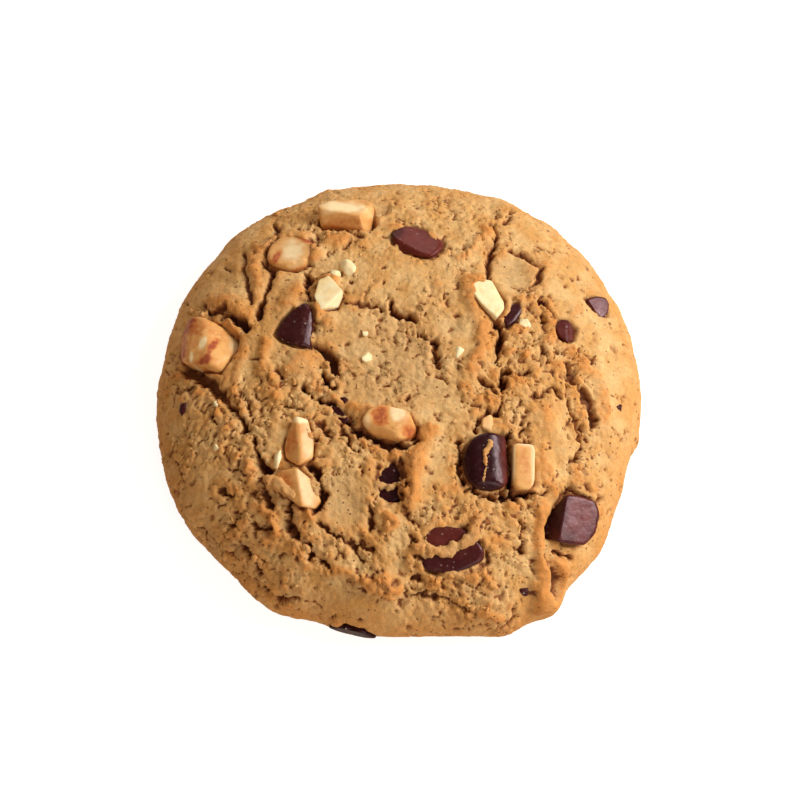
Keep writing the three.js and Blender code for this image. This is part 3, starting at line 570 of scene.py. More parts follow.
@dataclass(frozen=True)
class Morsel:
    """A chunk or a nut piece: a solid of flat faces with softened edges, sunk in the dough.

    corners run anticlockwise on the chart, at the level of the dome. proud is how far the top stands
    above the dome, tilt the slope of the top along u and v, and hard how sharp the edges are. lap says
    how readily the dough laps over its rim, from -1 to 1. marks are patches of colour: on a chocolate
    chunk painted light (strength above 0) and painted shade (below 0) on its faces, and on a nut piece
    roasted brown (above 0) and pale flesh (below 0), some of which is painted highlight.
    """

    name: str
    kind: Kind
    corners: tuple[Place, ...]
    thick: float
    proud: float
    tilt: Place = (0, 0)
    hard: float = 12
    facets: tuple[Facet, ...] = ()
    lap: float = -0.2
    marks: tuple[Patch, ...] = ()

    @property
    def middle(self) -> Place:
        """Gives the mean of the corners."""
        us, vs = zip(*self.corners)
        return sum(us) / len(us), sum(vs) / len(vs)

    def planes(self) -> tuple[np.ndarray, np.ndarray]:
        """Gives the faces of the solid about its middle, in the frame of the dome there.

        Returns:
            Unit normals, one a row, and the distance of each face.
        """
        half = self.thick / 2
        level = half - self.proud
        lean = math.hypot(*self.tilt, 1)
        normals = [(-self.tilt[0] / lean, -self.tilt[1] / lean, 1 / lean), (0, 0, -1)]
        reaches = [half / lean, half]
        mu, mv = self.middle
        ring = self.corners
        for (u0, v0), (u1, v1) in zip(ring, ring[1:] + ring[:1]):
            side = np.array([v1 - v0, u0 - u1, -SIDE_DRAFT * math.hypot(u1 - u0, v1 - v0)])
            side /= np.linalg.norm(side)
            normals.append(tuple(side))
            reaches.append(side @ (u0 - mu, v0 - mv, level))
        for facet in self.facets:
            turn, up = math.radians(facet.toward), math.radians(facet.up)
            normals.append((math.cos(turn) * math.cos(up), math.sin(turn) * math.cos(up), math.sin(up)))
            reaches.append(facet.reach)
        return np.array(normals), np.array(reaches)

    def roof(self, u: np.ndarray, v: np.ndarray) -> np.ndarray:
        """Gives the height of its upper faces above the dome, carried on past its edges.

        Args:
            u: chart coordinates.
            v: chart coordinates.

        Returns:
            Heights in millimetres.
        """
        least = np.full(u.shape, np.inf)
        mu, mv = self.middle
        for (nu, nv, up), reach in zip(*self.planes()):
            if up > 0:
                least = np.minimum(least, (reach - nu * (u - mu) - nv * (v - mv)) / up)
        return self.proud - self.thick / 2 + least

    def footprint(self, u: np.ndarray, v: np.ndarray) -> np.ndarray:
        """Gives how far each chart place lies outside the corners' outline.

        Args:
            u: chart coordinates.
            v: chart coordinates.

        Returns:
            Distances in millimetres, below 0 inside.
        """
        away = np.full(u.shape, -np.inf)
        ring = self.corners
        for (u0, v0), (u1, v1) in zip(ring, ring[1:] + ring[:1]):
            long = math.hypot(u1 - u0, v1 - v0)
            away = np.maximum(away, ((u - u0) * (v1 - v0) - (v - v0) * (u1 - u0)) / long)
        return away


# On a chocolate chunk the marks are painted light (above 0) and painted shade (below 0) on its faces. On a
# nut piece they are roasted brown (above 0) and pale flesh (below 0), and some pale ones are painted
# highlights.
MORSELS = (
    Morsel("chocolate_back", Kind.CHOCOLATE,
           ((-1, 29.7), (-1.2, 27.3), (0.2, 25.1), (3, 24), (6.2, 23.3), (8, 24.9), (8.6, 26.9), (5.4, 30),
            (3, 31.4), (0.4, 30.8)),
           5.5, 0.2, (-0.04, -0.12), 24, (Facet(230, 36, 3.5), Facet(70, 38, 3.9)), -0.3,
           (Patch((4.4, 27.2), (8, 7), 0, 0.85), Patch((-0.4, 29.6), (1.6, 2.6), 0, -0.7))),
    Morsel("chocolate_left", Kind.CHOCOLATE,
           ((-22.8, 7.4), (-21.6, 6.1), (-19, 4.8), (-16, 4.3), (-15.5, 7), (-15.5, 11.4), (-16.4, 13.2),
            (-17.6, 13.4), (-19.4, 12.2), (-21.2, 10.4)),
           6, 0.9, (0.14, 0.02), 13, (Facet(344, 58, 3.4),), -0.5,
           (Patch((-19.4, 8.4), (6, 6), 0, -0.5),)),
    Morsel("chocolate_crack", Kind.CHOCOLATE,
           ((19.2, 10.9), (19.9, 8.8), (21.7, 10.2), (23.2, 12.6), (22.1, 14.2), (20.4, 13.4)),
           4.4, 0.1, (0, 0), 14, (Facet(330, 48, 2.3),), 0.35, (Patch((21, 11.6), (4, 4), 0, -0.6),)),
    Morsel("chocolate_right", Kind.CHOCOLATE,
           ((29, 9.4), (29.8, 7.6), (31.2, 6.6), (32.9, 7.8), (33.2, 10), (31.6, 11.4), (29.8, 11.2)),
           4.8, 0.6, (0.16, 0), 16, (Facet(0, 64, 2.2), Facet(352, 36, 2.2)), -0.35,
           (Patch((31, 9), (3.4, 3.4), 0, 0.3),)),
    Morsel("chocolate_rim", Kind.CHOCOLATE,
           ((35.6, 17.3), (37.3, 15.2), (38.9, 13.8), (40.4, 15.2), (40.6, 17.4), (39.8, 18.5), (37.6, 18.4)),
           4.2, 0.3, (0.14, 0.3), 12, (), -0.15, (Patch((38.6, 16.4), (3.4, 3.4), 0, 0.3),)),
    Morsel("chocolate_large", Kind.CHOCOLATE,
           ((11.3, -17), (11.6, -19.8), (12.4, -21.6), (13.8, -22.8), (16, -23.2), (18.4, -22.6),
            (19.5, -21.4), (19.65, -17), (19.4, -12.7), (15.4, -12.6), (13.6, -13.4), (12, -15)),
           8, 1.5, (0.04, 0.02), 26,
           (Facet(2, 53, 4.5), Facet(358, 72, 4.3), Facet(184, 52, 4.25), Facet(268, 44, 5.2)), -0.7,
           (Patch((14, -18), (7, 9), 0, -1.0), Patch((18.8, -18), (1.4, 7), 0, 0.9))),
    Morsel("chocolate_side", Kind.CHOCOLATE,
           ((26, -28.6), (26.4, -30.2), (28.6, -31), (33.2, -31), (35.3, -28.8), (36.2, -25), (35.3, -23),
            (31.8, -22.2), (29.7, -22.2), (27.8, -24.8)),
           6.2, 1.0, (0.02, -0.12), 34, (Facet(167, 24, 3.4),), -0.6,
           (Patch((32.4, -25.8), (3.6, 6), 0, 0.6), Patch((27.2, -26.4), (2.2, 5), -20, -0.9))),
    Morsel("chocolate_front", Kind.CHOCOLATE,
           ((4.2, -31), (3.8, -35), (5, -37.6), (8, -38), (12, -36.6), (15.4, -34.2), (15, -32),
            (10.8, -29.2), (6.4, -29.2)), 5.2, 0.5, (0, -0.03), 18, (Facet(268, 44, 4.6),), 0.0,
           (Patch((7, -31), (5, 3), 0, 0.5), Patch((9, -36.6), (7, 2.4), 10, -0.2))),
    Morsel("chocolate_buried", Kind.CHOCOLATE,
           ((-4.2, -24.5), (-2.4, -26), (0.2, -25), (0.6, -20), (-0.8, -17.8), (-3.2, -18.2), (-4.4, -21)),
           4.4, -0.9, (0, 0), 14, (), -0.1, (Patch((-2, -22), (6, 6), 0, -0.9),)),
    Morsel("chocolate_sliver", Kind.CHOCOLATE,
           ((-13, -8.6), (-12, -9.9), (-9.8, -10.6), (-8.8, -9.8), (-10.6, -7.2), (-12.4, -6.8)),
           4, -0.6, (0.1, 0.1), 12, (), 0.3, (Patch((-11, -8.8), (4, 4), 0, -0.7),)),
    Morsel("chocolate_foot", Kind.CHOCOLATE,
           ((-14.2, -50.2), (-12.8, -51.3), (-6.8, -52.6), (-4.8, -52.2), (-7.2, -49.9), (-11.4, -48.9)),
           4.2, 0.25, (0, 0), 10, (), 0.1, (Patch((-9.6, -51), (8, 5), 0, -1.0),)),
    Morsel("nut_back", Kind.ROASTED,
           ((-15.2, 33.6), (-14.4, 31), (-5.4, 30.4), (-4.4, 31.6), (-5, 36.6), (-7.4, 37.8), (-13.4, 36)),
           6.4, 1.7, (0, -0.16), 34, (Facet(264, 32, 3.25), Facet(352, 30, 4.1)), -0.6,
           (Patch((-10, 30.9), (6, 1.3), 0, 0.34), Patch((-10.4, 34.2), (5, 2), 5, -1.1))),
    Morsel("nut_round", Kind.ROASTED,
           ((-22.2, 21.6), (-19.2, 20.9), (-17.2, 21.6), (-15.8, 24), (-15.6, 26.6), (-17.4, 28.4),
            (-20, 29.4), (-22.6, 29), (-24.4, 26.8), (-24.6, 23.6)),
           6.4, 0.8, (0, -0.02), 12, (Facet(285, 40, 4.6),), 0.1,
           (Patch((-17, 27.8), (3.4, 1.1), -35, 1.0), Patch((-22.4, 24), (0.8, 2.2), -20, 0.9),
            Patch((-19.8, 25), (2.6, 3), 0, -0.9))),
    # nut_toasted: the narrow pale mark at (-37.8, 3.6) is a painted highlight
    Morsel("nut_toasted", Kind.ROASTED,
           ((-42.6, 6.6), (-41.2, 4.4), (-38, 2.4), (-33.2, 0.9), (-30.2, 5), (-30, 8), (-34, 11.2),
            (-39, 12.6), (-42, 11.6)), 8, 2.4, (0.02, 0), 16, (Facet(14, 40, 4.0), Facet(178, 46, 4.5)), -0.6,
           (Patch((-37, 7), (7, 6), 0, 0.3), Patch((-39.6, 10.8), (3.2, 2), -20, 0.8),
            Patch((-41, 6.2), (1.8, 3.6), 0, 0.5), Patch((-33.8, 5.4), (0.6, 2.2), -12, 0.85),
            Patch((-34.6, 2.4), (1.8, 0.9), 0, 0.8), Patch((-35.6, 6.2), (0.9, 1.7), -8, -1.6),
            Patch((-30.6, 7.4), (1.7, 3.4), 0, -0.9), Patch((-37.8, 3.6), (0.5, 1.5), 0, -1.5))),
    Morsel("nut_middle", Kind.ROASTED,
           ((-6.6, -11), (-4.6, -13), (0, -14.1), (3.2, -13.4), (3.5, -11.4), (1.6, -9), (-3.4, -7.7),
            (-5.6, -8.7)), 5.8, 1.9, (0, -0.05), 15, (Facet(325, 44, 3.5), Facet(250, 48, 3.1)), -0.6,
           (Patch((-3.2, -10), (1.9, 2.4), 10, 0.8), Patch((2.2, -12.4), (1.7, 1.5), 0, 0.7),
            Patch((-0.2, -9.6), (1.8, 1.6), 0, -1.1), Patch((-5.8, -10.8), (1.2, 1.4), 0, -0.5))),
    Morsel("nut_left", Kind.ROASTED,
           ((-20.7, -14.8), (-20.5, -17), (-17.9, -18.6), (-15.5, -17.2), (-15.2, -14.2), (-16.3, -9.8),
            (-18.6, -9.6), (-19.8, -12)),
           5.8, 1.6, (0, 0.02), 20, (Facet(184, 60, 2.35), Facet(4, 58, 2.6)), -0.3,
           (Patch((-19.2, -14.2), (1.7, 4), 0, 0.42), Patch((-17.5, -10), (2, 0.9), 0, -1.3),
            Patch((-16.2, -14), (1.2, 3.4), 0, -0.45))),
    # nut_wedge: the pale mark along its ridge is a painted highlight
    Morsel("nut_wedge", Kind.ROASTED,
           ((-22.4, -20.4), (-20.4, -23.6), (-17.6, -26), (-15, -26.4), (-13.8, -24.8), (-15.8, -20.8),
            (-18, -19.4), (-21.6, -19.5)), 5.8, 1.4, (0.25, 0.05), 28, (Facet(10, 50, 2.65),), -0.2,
           (Patch((-20, -21.8), (2, 2.6), 0, 0.42), Patch((-16.6, -22.6), (1.2, 4), 18, -0.5))),
    # nut_block: the pale marks along its long edges and its top end are painted highlights
    Morsel("nut_block", Kind.ROASTED,
           ((20.15, -14.6), (20.15, -21.6), (20.8, -22.6), (23, -22.6), (23.8, -21.4), (24, -15.4),
            (23.6, -14), (20.8, -13.9)),
           5.4, 1.5, (0, 0), 24, (Facet(182, 52, 3.0), Facet(90, 36, 4.5)), -0.6,
           (Patch((21.9, -18.4), (1.6, 4), 0, 0.3), Patch((22.2, -13.9), (2.4, 0.9), 0, -1.1),
            Patch((23.7, -17.4), (0.6, 5), 0, -0.7), Patch((20.2, -17.4), (0.4, 5), 0, -0.7))),
    Morsel("nut_pale_left", Kind.PALE,
           ((-15.4, 14.6), (-14.3, 11.8), (-11, 12.9), (-10.2, 15.3), (-12.8, 18.8), (-14.6, 18)),
           5, 1.1, (0.03, -0.03), 30, (Facet(318, 34, 3.0),), -0.2),
    Morsel("nut_pale_right", Kind.PALE,
           ((13.8, 15), (15.4, 12.6), (17.8, 10.2), (19.3, 12.2), (19.7, 14.4), (17.4, 18), (14.6, 18.2),
            (13, 17)),
           5.2, 1.1, (-0.04, 0), 26, (Facet(20, 34, 2.9),), -0.1),
)


@dataclass(frozen=True)
class Bit:
    """A small piece in the dough's surface, too small to be a node of its own.

    long stretches it away from the front, and turn then swings it anticlockwise, in degrees.
    """

    kind: Kind
    at: Place
    across: float
    proud: float
    long: float = 1
    turn: float = 0


BITS = (
    Bit(Kind.PALE, (-11.9, 19.7), 2.0, 0.7, 1.2, -40), Bit(Kind.PALE, (-9.4, 21.2), 2.6, 0.8, 1.3, 20),
    Bit(Kind.PALE, (-21.8, -17.3), 1.4, 0.8, 2.5, -17),
    Bit(Kind.ROASTED, (16.0, -10.6), 2.8, 1.0), Bit(Kind.PALE, (23.5, 9.8), 2.2, 0.7),
    Bit(Kind.PALE, (-6, 2.5), 1.8, 0.4), Bit(Kind.PALE, (10.9, 3.6), 2.0, 0.6),
    Bit(Kind.PALE, (-6.2, 7.3), 1.1, 0.3), Bit(Kind.PALE, (-33.7, -5.4), 1.3, 0.6),
    Bit(Kind.PALE, (-33.4, -13.8), 1.3, 0.5), Bit(Kind.CHOCOLATE, (-41.2, -4.8), 2.8, 0.35),
    Bit(Kind.CHOCOLATE, (42.8, -4.6), 2.1, 0.3), Bit(Kind.CHOCOLATE, (21.8, -38.4), 1.8, 0.4),
    Bit(Kind.CHOCOLATE, (27.1, 15.4), 1.9, 0.1), Bit(Kind.CHOCOLATE, (-9.8, -6.2), 1.7, 0.5),
)


# ------------------------------------------------------------------------------- mesh and node helpers
def make_piece(name: str, points: np.ndarray, faces: list) -> Piece:
    """Makes a smooth-shaded mesh object at the origin.

    Args:
        name: the piece's name.
        points: places in millimetres, one a row.
        faces: vertex indices of each face.

    Returns:
        The new object.
    """
    mesh = bpy.data.meshes.new(name)
    mesh.from_pydata((points * MM).tolist(), [], faces)
    mesh.shade_smooth()
    piece = bpy.data.objects.new(name, mesh)
    bpy.context.scene.collection.objects.link(piece)
    return piece


def soften(values: np.ndarray, ends: np.ndarray, rounds: int) -> np.ndarray:
    """Evens out what a mesh's vertices hold, each with its neighbours.

    Args:
        values: what they hold, one row for each vertex.
        ends: the two vertices of each edge of each face, in both orders, one pair a row.
        rounds: how many times.

    Returns:
        The softened values.
    """
    shared = np.bincount(ends[:, 0], minlength=len(values))
    for _ in range(rounds):
        sums = np.stack([np.bincount(ends[:, 0], values[ends[:, 1], axis], len(values))
                         for axis in range(values.shape[1])], axis=1)
        values = 0.5 * values + 0.5 * sums / shared[:, None]
    return values


def read_points(piece: Piece) -> np.ndarray:
    """Reads where a piece's vertices are.

    Args:
        piece: the piece.

    Returns:
        Places in millimetres, one a row.
    """
    flat = np.empty(len(piece.data.vertices) * 3)
    piece.data.vertices.foreach_get("co", flat)
    return flat.reshape(-1, 3) / MM


def write_number(piece: Piece, name: str, values: np.ndarray) -> None:
    """Stores one number for each vertex under a name that materials and node trees read."""
    held = piece.data.attributes.get(name) or piece.data.attributes.new(name, "FLOAT", "POINT")
    held.data.foreach_set("value", values.astype(np.float32))


def write_vector(piece: Piece, name: str, values: np.ndarray) -> None:
    """Stores one vector for each vertex under a name that node trees read."""
    held = piece.data.attributes.get(name) or piece.data.attributes.new(name, "FLOAT_VECTOR", "POINT")
    held.data.foreach_set("vector", values.astype(np.float32).ravel())


class Wiring:
    """Adds nodes to one tree and links them in the same breath."""

    def __init__(self, tree: Tree) -> None:
        """Starts on a tree with no nodes of its own."""
        self.tree = tree
        tree.nodes.clear()

    def node(self, kind: str, feeds: dict | None = None, **settings: object) -> bpy.types.Node:
        """Adds a node.

        Args:
            kind: the node's Blender type name.
            feeds: for each input's name or number, a value or another node's output socket.
            settings: the node's own properties.

        Returns:
            The new node.
        """
        made = self.tree.nodes.new(kind)
        for name, value in settings.items():
            setattr(made, name, value)
        for key, value in (feeds or {}).items():
            self.feed(made.inputs[key], value)
        return made

    def feed(self, socket: Socket, value: object) -> None:
        """Gives an input its value.

        Args:
            socket: the input.
            value: a plain value, or another node's output socket to link to it.
        """
        if isinstance(value, Socket):
            self.tree.links.new(value, socket)
        else:
            socket.default_value = value

    def math(self, operation: str, first: object, second: object) -> Socket:
        """Adds one step of arithmetic on two numbers or sockets and gives its output."""
        return self.node("ShaderNodeMath", {0: first, 1: second}, operation=operation).outputs[0]

    def product(self, first: object, *others: object) -> Socket:
        """Multiplies numbers and gives the result.

        Args:
            first: number or socket.
            others: more numbers or sockets.

        Returns:
            The output socket.
        """
        for other in others:
            first = self.math("MULTIPLY", first, other)
        return first

    def vector(self, operation: str, first: object, second: object) -> Socket:
        """Adds one step of arithmetic on two vectors or sockets and gives its output."""
        return self.node("ShaderNodeVectorMath", {0: first, 1: second}, operation=operation).outputs[0]

    def ramp(self, value: object, low: float, high: float, least: float = 0, most: float = 1) -> Socket:
        """Maps a value smoothly from between low and high to between least and most."""
        feeds = {"Value": value, "From Min": low, "From Max": high, "To Min": least, "To Max": most}
        return self.node("ShaderNodeMapRange", feeds, interpolation_type="SMOOTHSTEP").outputs[0]

    def blend(self, share: object, first: object, second: object) -> Socket:
        """Mixes two colours and gives the result.

        Args:
            share: 0 for the first, 1 for the second.
            first: colour or socket.
            second: colour or socket.

        Returns:
            The output socket.
        """
        mixer = self.node("ShaderNodeMix", data_type="RGBA", clamp_factor=True)
        for number, value in ((0, share), (6, first), (7, second)):
            self.feed(mixer.inputs[number], (*value, 1) if isinstance(value, tuple) else value)
        return mixer.outputs[2]

    def grain(self, place: object, size: float, detail: float = 2, rough: float = 0.5) -> Socket:
        """Adds noise, 0 to 1, with bumps of a size in millimetres and so many finer octaves."""
        feeds = {"Vector": place, "Scale": 1 / size, "Detail": detail, "Roughness": rough}
        return self.node("ShaderNodeTexNoise", feeds).outputs[0]

    def drift(self, place: object, scale: float, detail: float) -> Socket:
        """Adds noise that differs from axis to axis, to bend a pattern with, and gives its vector."""
        return self.node("ShaderNodeTexNoise", {"Vector": place, "Scale": scale, "Detail": detail}).outputs[1]

    def scaled(self, vector: object, factor: object) -> Socket:
        """Scales a vector or a colour and gives the result."""
        return self.node("ShaderNodeVectorMath", {0: vector, "Scale": factor}, operation="SCALE").outputs[0]

    def shown(self, name: str) -> Socket:
        """Reads what a mesh stores under a name, in a material."""
        return self.node("ShaderNodeAttribute", attribute_name=name).outputs["Fac"]

    def held(self, name: str, kind: str = "FLOAT") -> Socket:
        """Reads what a mesh stores under a name, in a Geometry Nodes tree."""
        return self.node("GeometryNodeInputNamedAttribute", {"Name": name}, data_type=kind).outputs[0]

    def group(self, tree: Tree, feeds: dict) -> bpy.types.Node:
        """Places a shared group, fed by its inputs' names, and gives its node."""
        return self.node("ShaderNodeGroup", feeds, node_tree=tree)

    def cells(self, place: object, size: float, feature: str = "F1") -> bpy.types.Node:
        """Adds a cell pattern with cells of one size in millimetres and gives its node."""
        return self.node("ShaderNodeTexVoronoi", {"Vector": place, "Scale": 1 / size}, feature=feature)


def new_group(name: str, kind: str, takes: dict,
              gives: dict) -> tuple[Tree, Wiring, bpy.types.bpy_prop_collection]:
    """Starts a node group with named sockets.

    Args:
        name: the group's name.
        kind: "ShaderNodeTree" or "GeometryNodeTree".
        takes: socket type of each input by name, or (type, default value).
        gives: socket type of each output by name.

    Returns:
        The tree, its wiring and the sockets that hold what it takes.
    """
    tree = bpy.data.node_groups.new(name, kind)
    for side, sockets in (("INPUT", takes), ("OUTPUT", gives)):
        for label, held in sockets.items():
            socket_type, default = held if isinstance(held, tuple) else (held, None)
            socket = tree.interface.new_socket(label, in_out=side, socket_type=f"NodeSocket{socket_type}")
            if default is not None:
                socket.default_value = default
    wiring = Wiring(tree)
    return tree, wiring, wiring.node("NodeGroupInput").outputs


def run_tree(piece: Piece, tree: Tree, values: dict) -> None:
    """Runs a Geometry Nodes tree on a piece and keeps the result as its plain mesh.

    Args:
        piece: the object whose mesh goes in and is replaced.
        tree: the tree.
        values: value of each named input.
    """
    modifier = piece.modifiers.new(tree.name, "NODES")
    modifier.node_group = tree
    sockets = {item.name: item.identifier for item in tree.interface.items_tree if item.in_out == "INPUT"}
    for name, value in values.items():
        modifier[sockets[name]] = value
    bpy.context.view_layer.update()
    graph = bpy.context.evaluated_depsgraph_get()
    mesh = bpy.data.meshes.new_from_object(piece.evaluated_get(graph), preserve_all_data_layers=True,
                                           depsgraph=graph)
    piece.modifiers.remove(modifier)
    old = piece.data
    piece.data = mesh
    mesh.name = piece.name
    bpy.data.meshes.remove(old)


# ------------------------------------------------------------------------------- finishes
def millimetre_place(wiring: Wiring) -> Socket:
    """Gives the place on the object in millimetres, for patterns."""
    return wiring.scaled(wiring.node("ShaderNodeTexCoord").outputs["Object"], 1 / MM)


def new_finish(name: str) -> tuple[Material, Wiring, Socket]:
    """Starts a material.

    Args:
        name: the material's name.

    Returns:
        The material, its wiring and the place on the object in millimetres.
    """
    made = bpy.data.materials.new(name)
    made.use_nodes = True
    wiring = Wiring(made.node_tree)
    return made, wiring, millimetre_place(wiring)


def speck_group() -> Tree:
    """Builds the group that scatters tiny round specks.

    Returns:
        A tree that takes Place, Spacing, Size and Share, and gives Mask: 1 on a speck.
    """
    takes = {"Place": "Vector", "Spacing": ("Float", 1.0), "Size": ("Float", 0.2), "Share": ("Float", 0.4)}
    tree, w, given = new_group("specks", "ShaderNodeTree", takes, {"Mask": "Float"})
    scale = w.math("DIVIDE", 1.0, given["Spacing"])
    wander = w.drift(given["Place"], 2.4, 1.0)
    shifted = w.node("ShaderNodeMix", {0: 0.16, 4: given["Place"], 5: wander}, data_type="VECTOR")
    spots = w.node("ShaderNodeTexVoronoi", {"Vector": shifted.outputs[1], "Scale": scale})
    tint = w.node("ShaderNodeSeparateColor", {0: spots.outputs["Color"]})
    away = w.product(spots.outputs["Distance"], given["Spacing"])
    size = w.product(given["Size"], w.ramp(tint.outputs[1], 0, 1, 0.55, 1.25))
    inner = w.product(size, 0.45)
    mask = w.node("ShaderNodeMapRange", {"Value": away, "From Min": size, "From Max": inner},
                  interpolation_type="SMOOTHSTEP").outputs[0]
    chosen = w.math("LESS_THAN", tint.outputs[0], given["Share"])
    w.node("NodeGroupOutput", {"Mask": w.product(mask, chosen)})
    return tree


def crumb_group() -> Tree:
    """Builds the group that gives baked crumb its fine height and mottled tone.

    Returns:
        A tree that takes Place, and gives Height and Tone, each about 0 to 1, and Split: 1 on a hairline.
    """
    tree, w, given = new_group("crumb_grain", "ShaderNodeTree", {"Place": "Vector"},
                               {"Height": "Float", "Tone": "Float", "Split": "Float"})
    place = given["Place"]
    rounds = w.cells(place, 0.55).outputs["Distance"]
    fine = w.grain(place, 0.28, 3, 0.6)
    broad = w.grain(place, 0.9, 2, 0.5)
    raised = w.math("SUBTRACT", 1.0, rounds)
    height = w.math("ADD", w.product(raised, 0.4), w.product(fine, 0.6))
    tone = w.math("ADD", w.product(fine, 0.45), w.product(broad, 0.55))
    bent = w.vector("ADD", place, w.drift(place, 0.9, 3.0))
    line = w.ramp(w.cells(bent, 2.4, "DISTANCE_TO_EDGE").outputs["Distance"], 0.012, 0.04, 1, 0)
    split = w.product(line, w.ramp(w.grain(place, 2.6, 2), 0.6, 0.72))
    w.node("NodeGroupOutput", {"Height": height, "Tone": tone, "Split": split})
    return tree


@dataclass(frozen=True)
class DoughFinish:
    """Baked dough: golden crumb, toasted crests, paler hollows, and painted shade in cracks, recesses and
    pinholes.
    """

    pale: Colour = srgb(222, 180, 119)
    golden: Colour = srgb(211, 158, 90)
    hollow: Colour = srgb(198, 161, 109)
    toast: Colour = srgb(211, 137, 62)
    # painted shade: crack darkens cracks, pits, gaps and small recesses, and deep the deepest of them
    crack: Colour = srgb(152, 92, 44)
    deep: Colour = srgb(84, 38, 17)
    # painted shade in the tiny pinholes that the specks press into the surface
    speck: Colour = srgb(104, 56, 24)

    def material(self, specks: Tree, crumb: Tree) -> Material:
        """Builds the material.

        Args:
            specks: the speck group.
            crumb: the crumb grain group.

        Returns:
            The new material.
        """
        made, w, place = new_finish("baked_dough")
        grain = w.group(crumb, {"Place": place})
        mottle = w.ramp(w.grain(place, 5.0, 3, 0.55), 0.35, 0.65)
        colour = w.blend(mottle, self.pale, self.golden)
        colour = w.blend(w.product(w.shown("hollow"), 0.75), colour, self.hollow)
        colour = w.blend(w.product(w.shown("toast"), 0.85), colour, self.toast)
        # painted shade in the cracks, pits, gaps beside the morsels and small recesses, darkest where deepest
        colour = w.blend(w.ramp(w.shown("crack"), 0, 0.6), colour, self.crack)
        colour = w.blend(w.ramp(w.shown("crack"), 0.55, 1.0), colour, self.deep)
        colour = w.scaled(colour, w.ramp(grain.outputs["Tone"], 0.3, 0.72, 0.84, 1.12))
        # dark specks: tiny pinholes pressed in by the bump below and painted with their shade
        small = w.group(specks, {"Place": place, "Spacing": 0.95, "Size": 0.2, "Share": 0.55})
        large = w.group(specks, {"Place": place, "Spacing": 2.3, "Size": 0.36, "Share": 0.5})
        dark = w.math("MAXIMUM", small.outputs["Mask"], large.outputs["Mask"])
        colour = w.blend(w.product(dark, 0.72), colour, self.speck)
        colour = w.blend(w.product(grain.outputs["Split"], 0.7), colour, self.crack)
        height = w.math("SUBTRACT", grain.outputs["Height"], w.product(dark, 0.9))
        bump = w.node("ShaderNodeBump", {"Strength": 0.8, "Distance": 0.2 * MM, "Height": height})
        rough = w.ramp(grain.outputs["Tone"], 0.3, 0.7, 0.62, 0.86)
        shader = w.node("ShaderNodeBsdfPrincipled", {
            "Base Color": colour, "Roughness": rough, "Normal": bump.outputs[0], "Specular IOR Level": 0.35,
            "Subsurface Weight": 0.12, "Subsurface Radius": (1.0, 0.5, 0.25), "Subsurface Scale": 0.9 * MM,
        })
        w.node("ShaderNodeOutputMaterial", {0: shader.outputs[0]})
        return made


@dataclass(frozen=True)
class ChocolateFinish:
    """Dark chocolate: satin faces with painted light and shade, pale bloom partly painted as sheen, and
    painted glints on edges.
    """

    # painted shade: the colour of a chunk's shaded faces
    deep: Colour = srgb(44, 13, 18)
    dark: Colour = srgb(70, 25, 24)
    # painted light: the colour of a chunk's lit faces
    warm: Colour = srgb(112, 47, 38)
    # pale bloom, partly real bloom and partly painted sheen along the edges
    bloom_and_sheen: Colour = srgb(176, 128, 118)
    # painted glints: tiny pale specks on worn edges
    painted_glints: Colour = srgb(240, 224, 214)
    glint: Colour = (0.95, 0.72, 0.74)

    def material(self, specks: Tree, crumb: Tree) -> Material:
        """Builds the material.

        Args:
            specks: the speck group.
            crumb: the crumb grain group.

        Returns:
            The new material.
        """
        made, w, place = new_finish("dark_chocolate")
        grain = w.group(crumb, {"Place": place})
        # painted light and shade from the marks: above 0 toward the lit colour, below 0 toward the shaded one
        marked = w.math("ADD", w.shown("toast"), w.ramp(w.grain(place, 2.6, 3, 0.6), 0.3, 0.7, -0.15, 0.15))
        colour = w.blend(marked, self.dark, self.warm)
        colour = w.blend(w.product(marked, -1.0), colour, self.deep)
        # pale patches toward the edges: partly real bloom, partly painted sheen
        dust_and_sheen_patches = w.ramp(w.grain(place, 0.9, 4, 0.7), 0.5, 0.75)
        dust_and_sheen = w.product(dust_and_sheen_patches, w.math("ADD", w.shown("edge"), 0.2))
        colour = w.blend(w.product(dust_and_sheen, 0.3), colour, self.bloom_and_sheen)
        # painted glints: tiny pale specks, most of them on the edges
        speck = w.group(specks, {"Place": place, "Spacing": 0.9, "Size": 0.17, "Share": 0.4})
        painted_glints = w.product(speck.outputs["Mask"], w.math("ADD", w.shown("edge"), 0.15))
        colour = w.blend(painted_glints, colour, self.painted_glints)
        rough = w.ramp(w.grain(place, 1.2, 3, 0.6), 0.3, 0.7, 0.2, 0.38)
        height = w.math("ADD", w.grain(place, 1.6, 3, 0.5), w.product(grain.outputs["Height"], 0.3))
        bump = w.node("ShaderNodeBump", {"Strength": 0.35, "Distance": 0.16 * MM, "Height": height})
        shader = w.node("ShaderNodeBsdfPrincipled", {
            "Base Color": colour, "Roughness": rough, "Normal": bump.outputs[0], "Specular IOR Level": 0.32,
            "Specular Tint": (*self.glint, 1),
        })
        w.node("ShaderNodeOutputMaterial", {0: shader.outputs[0]})
        return made


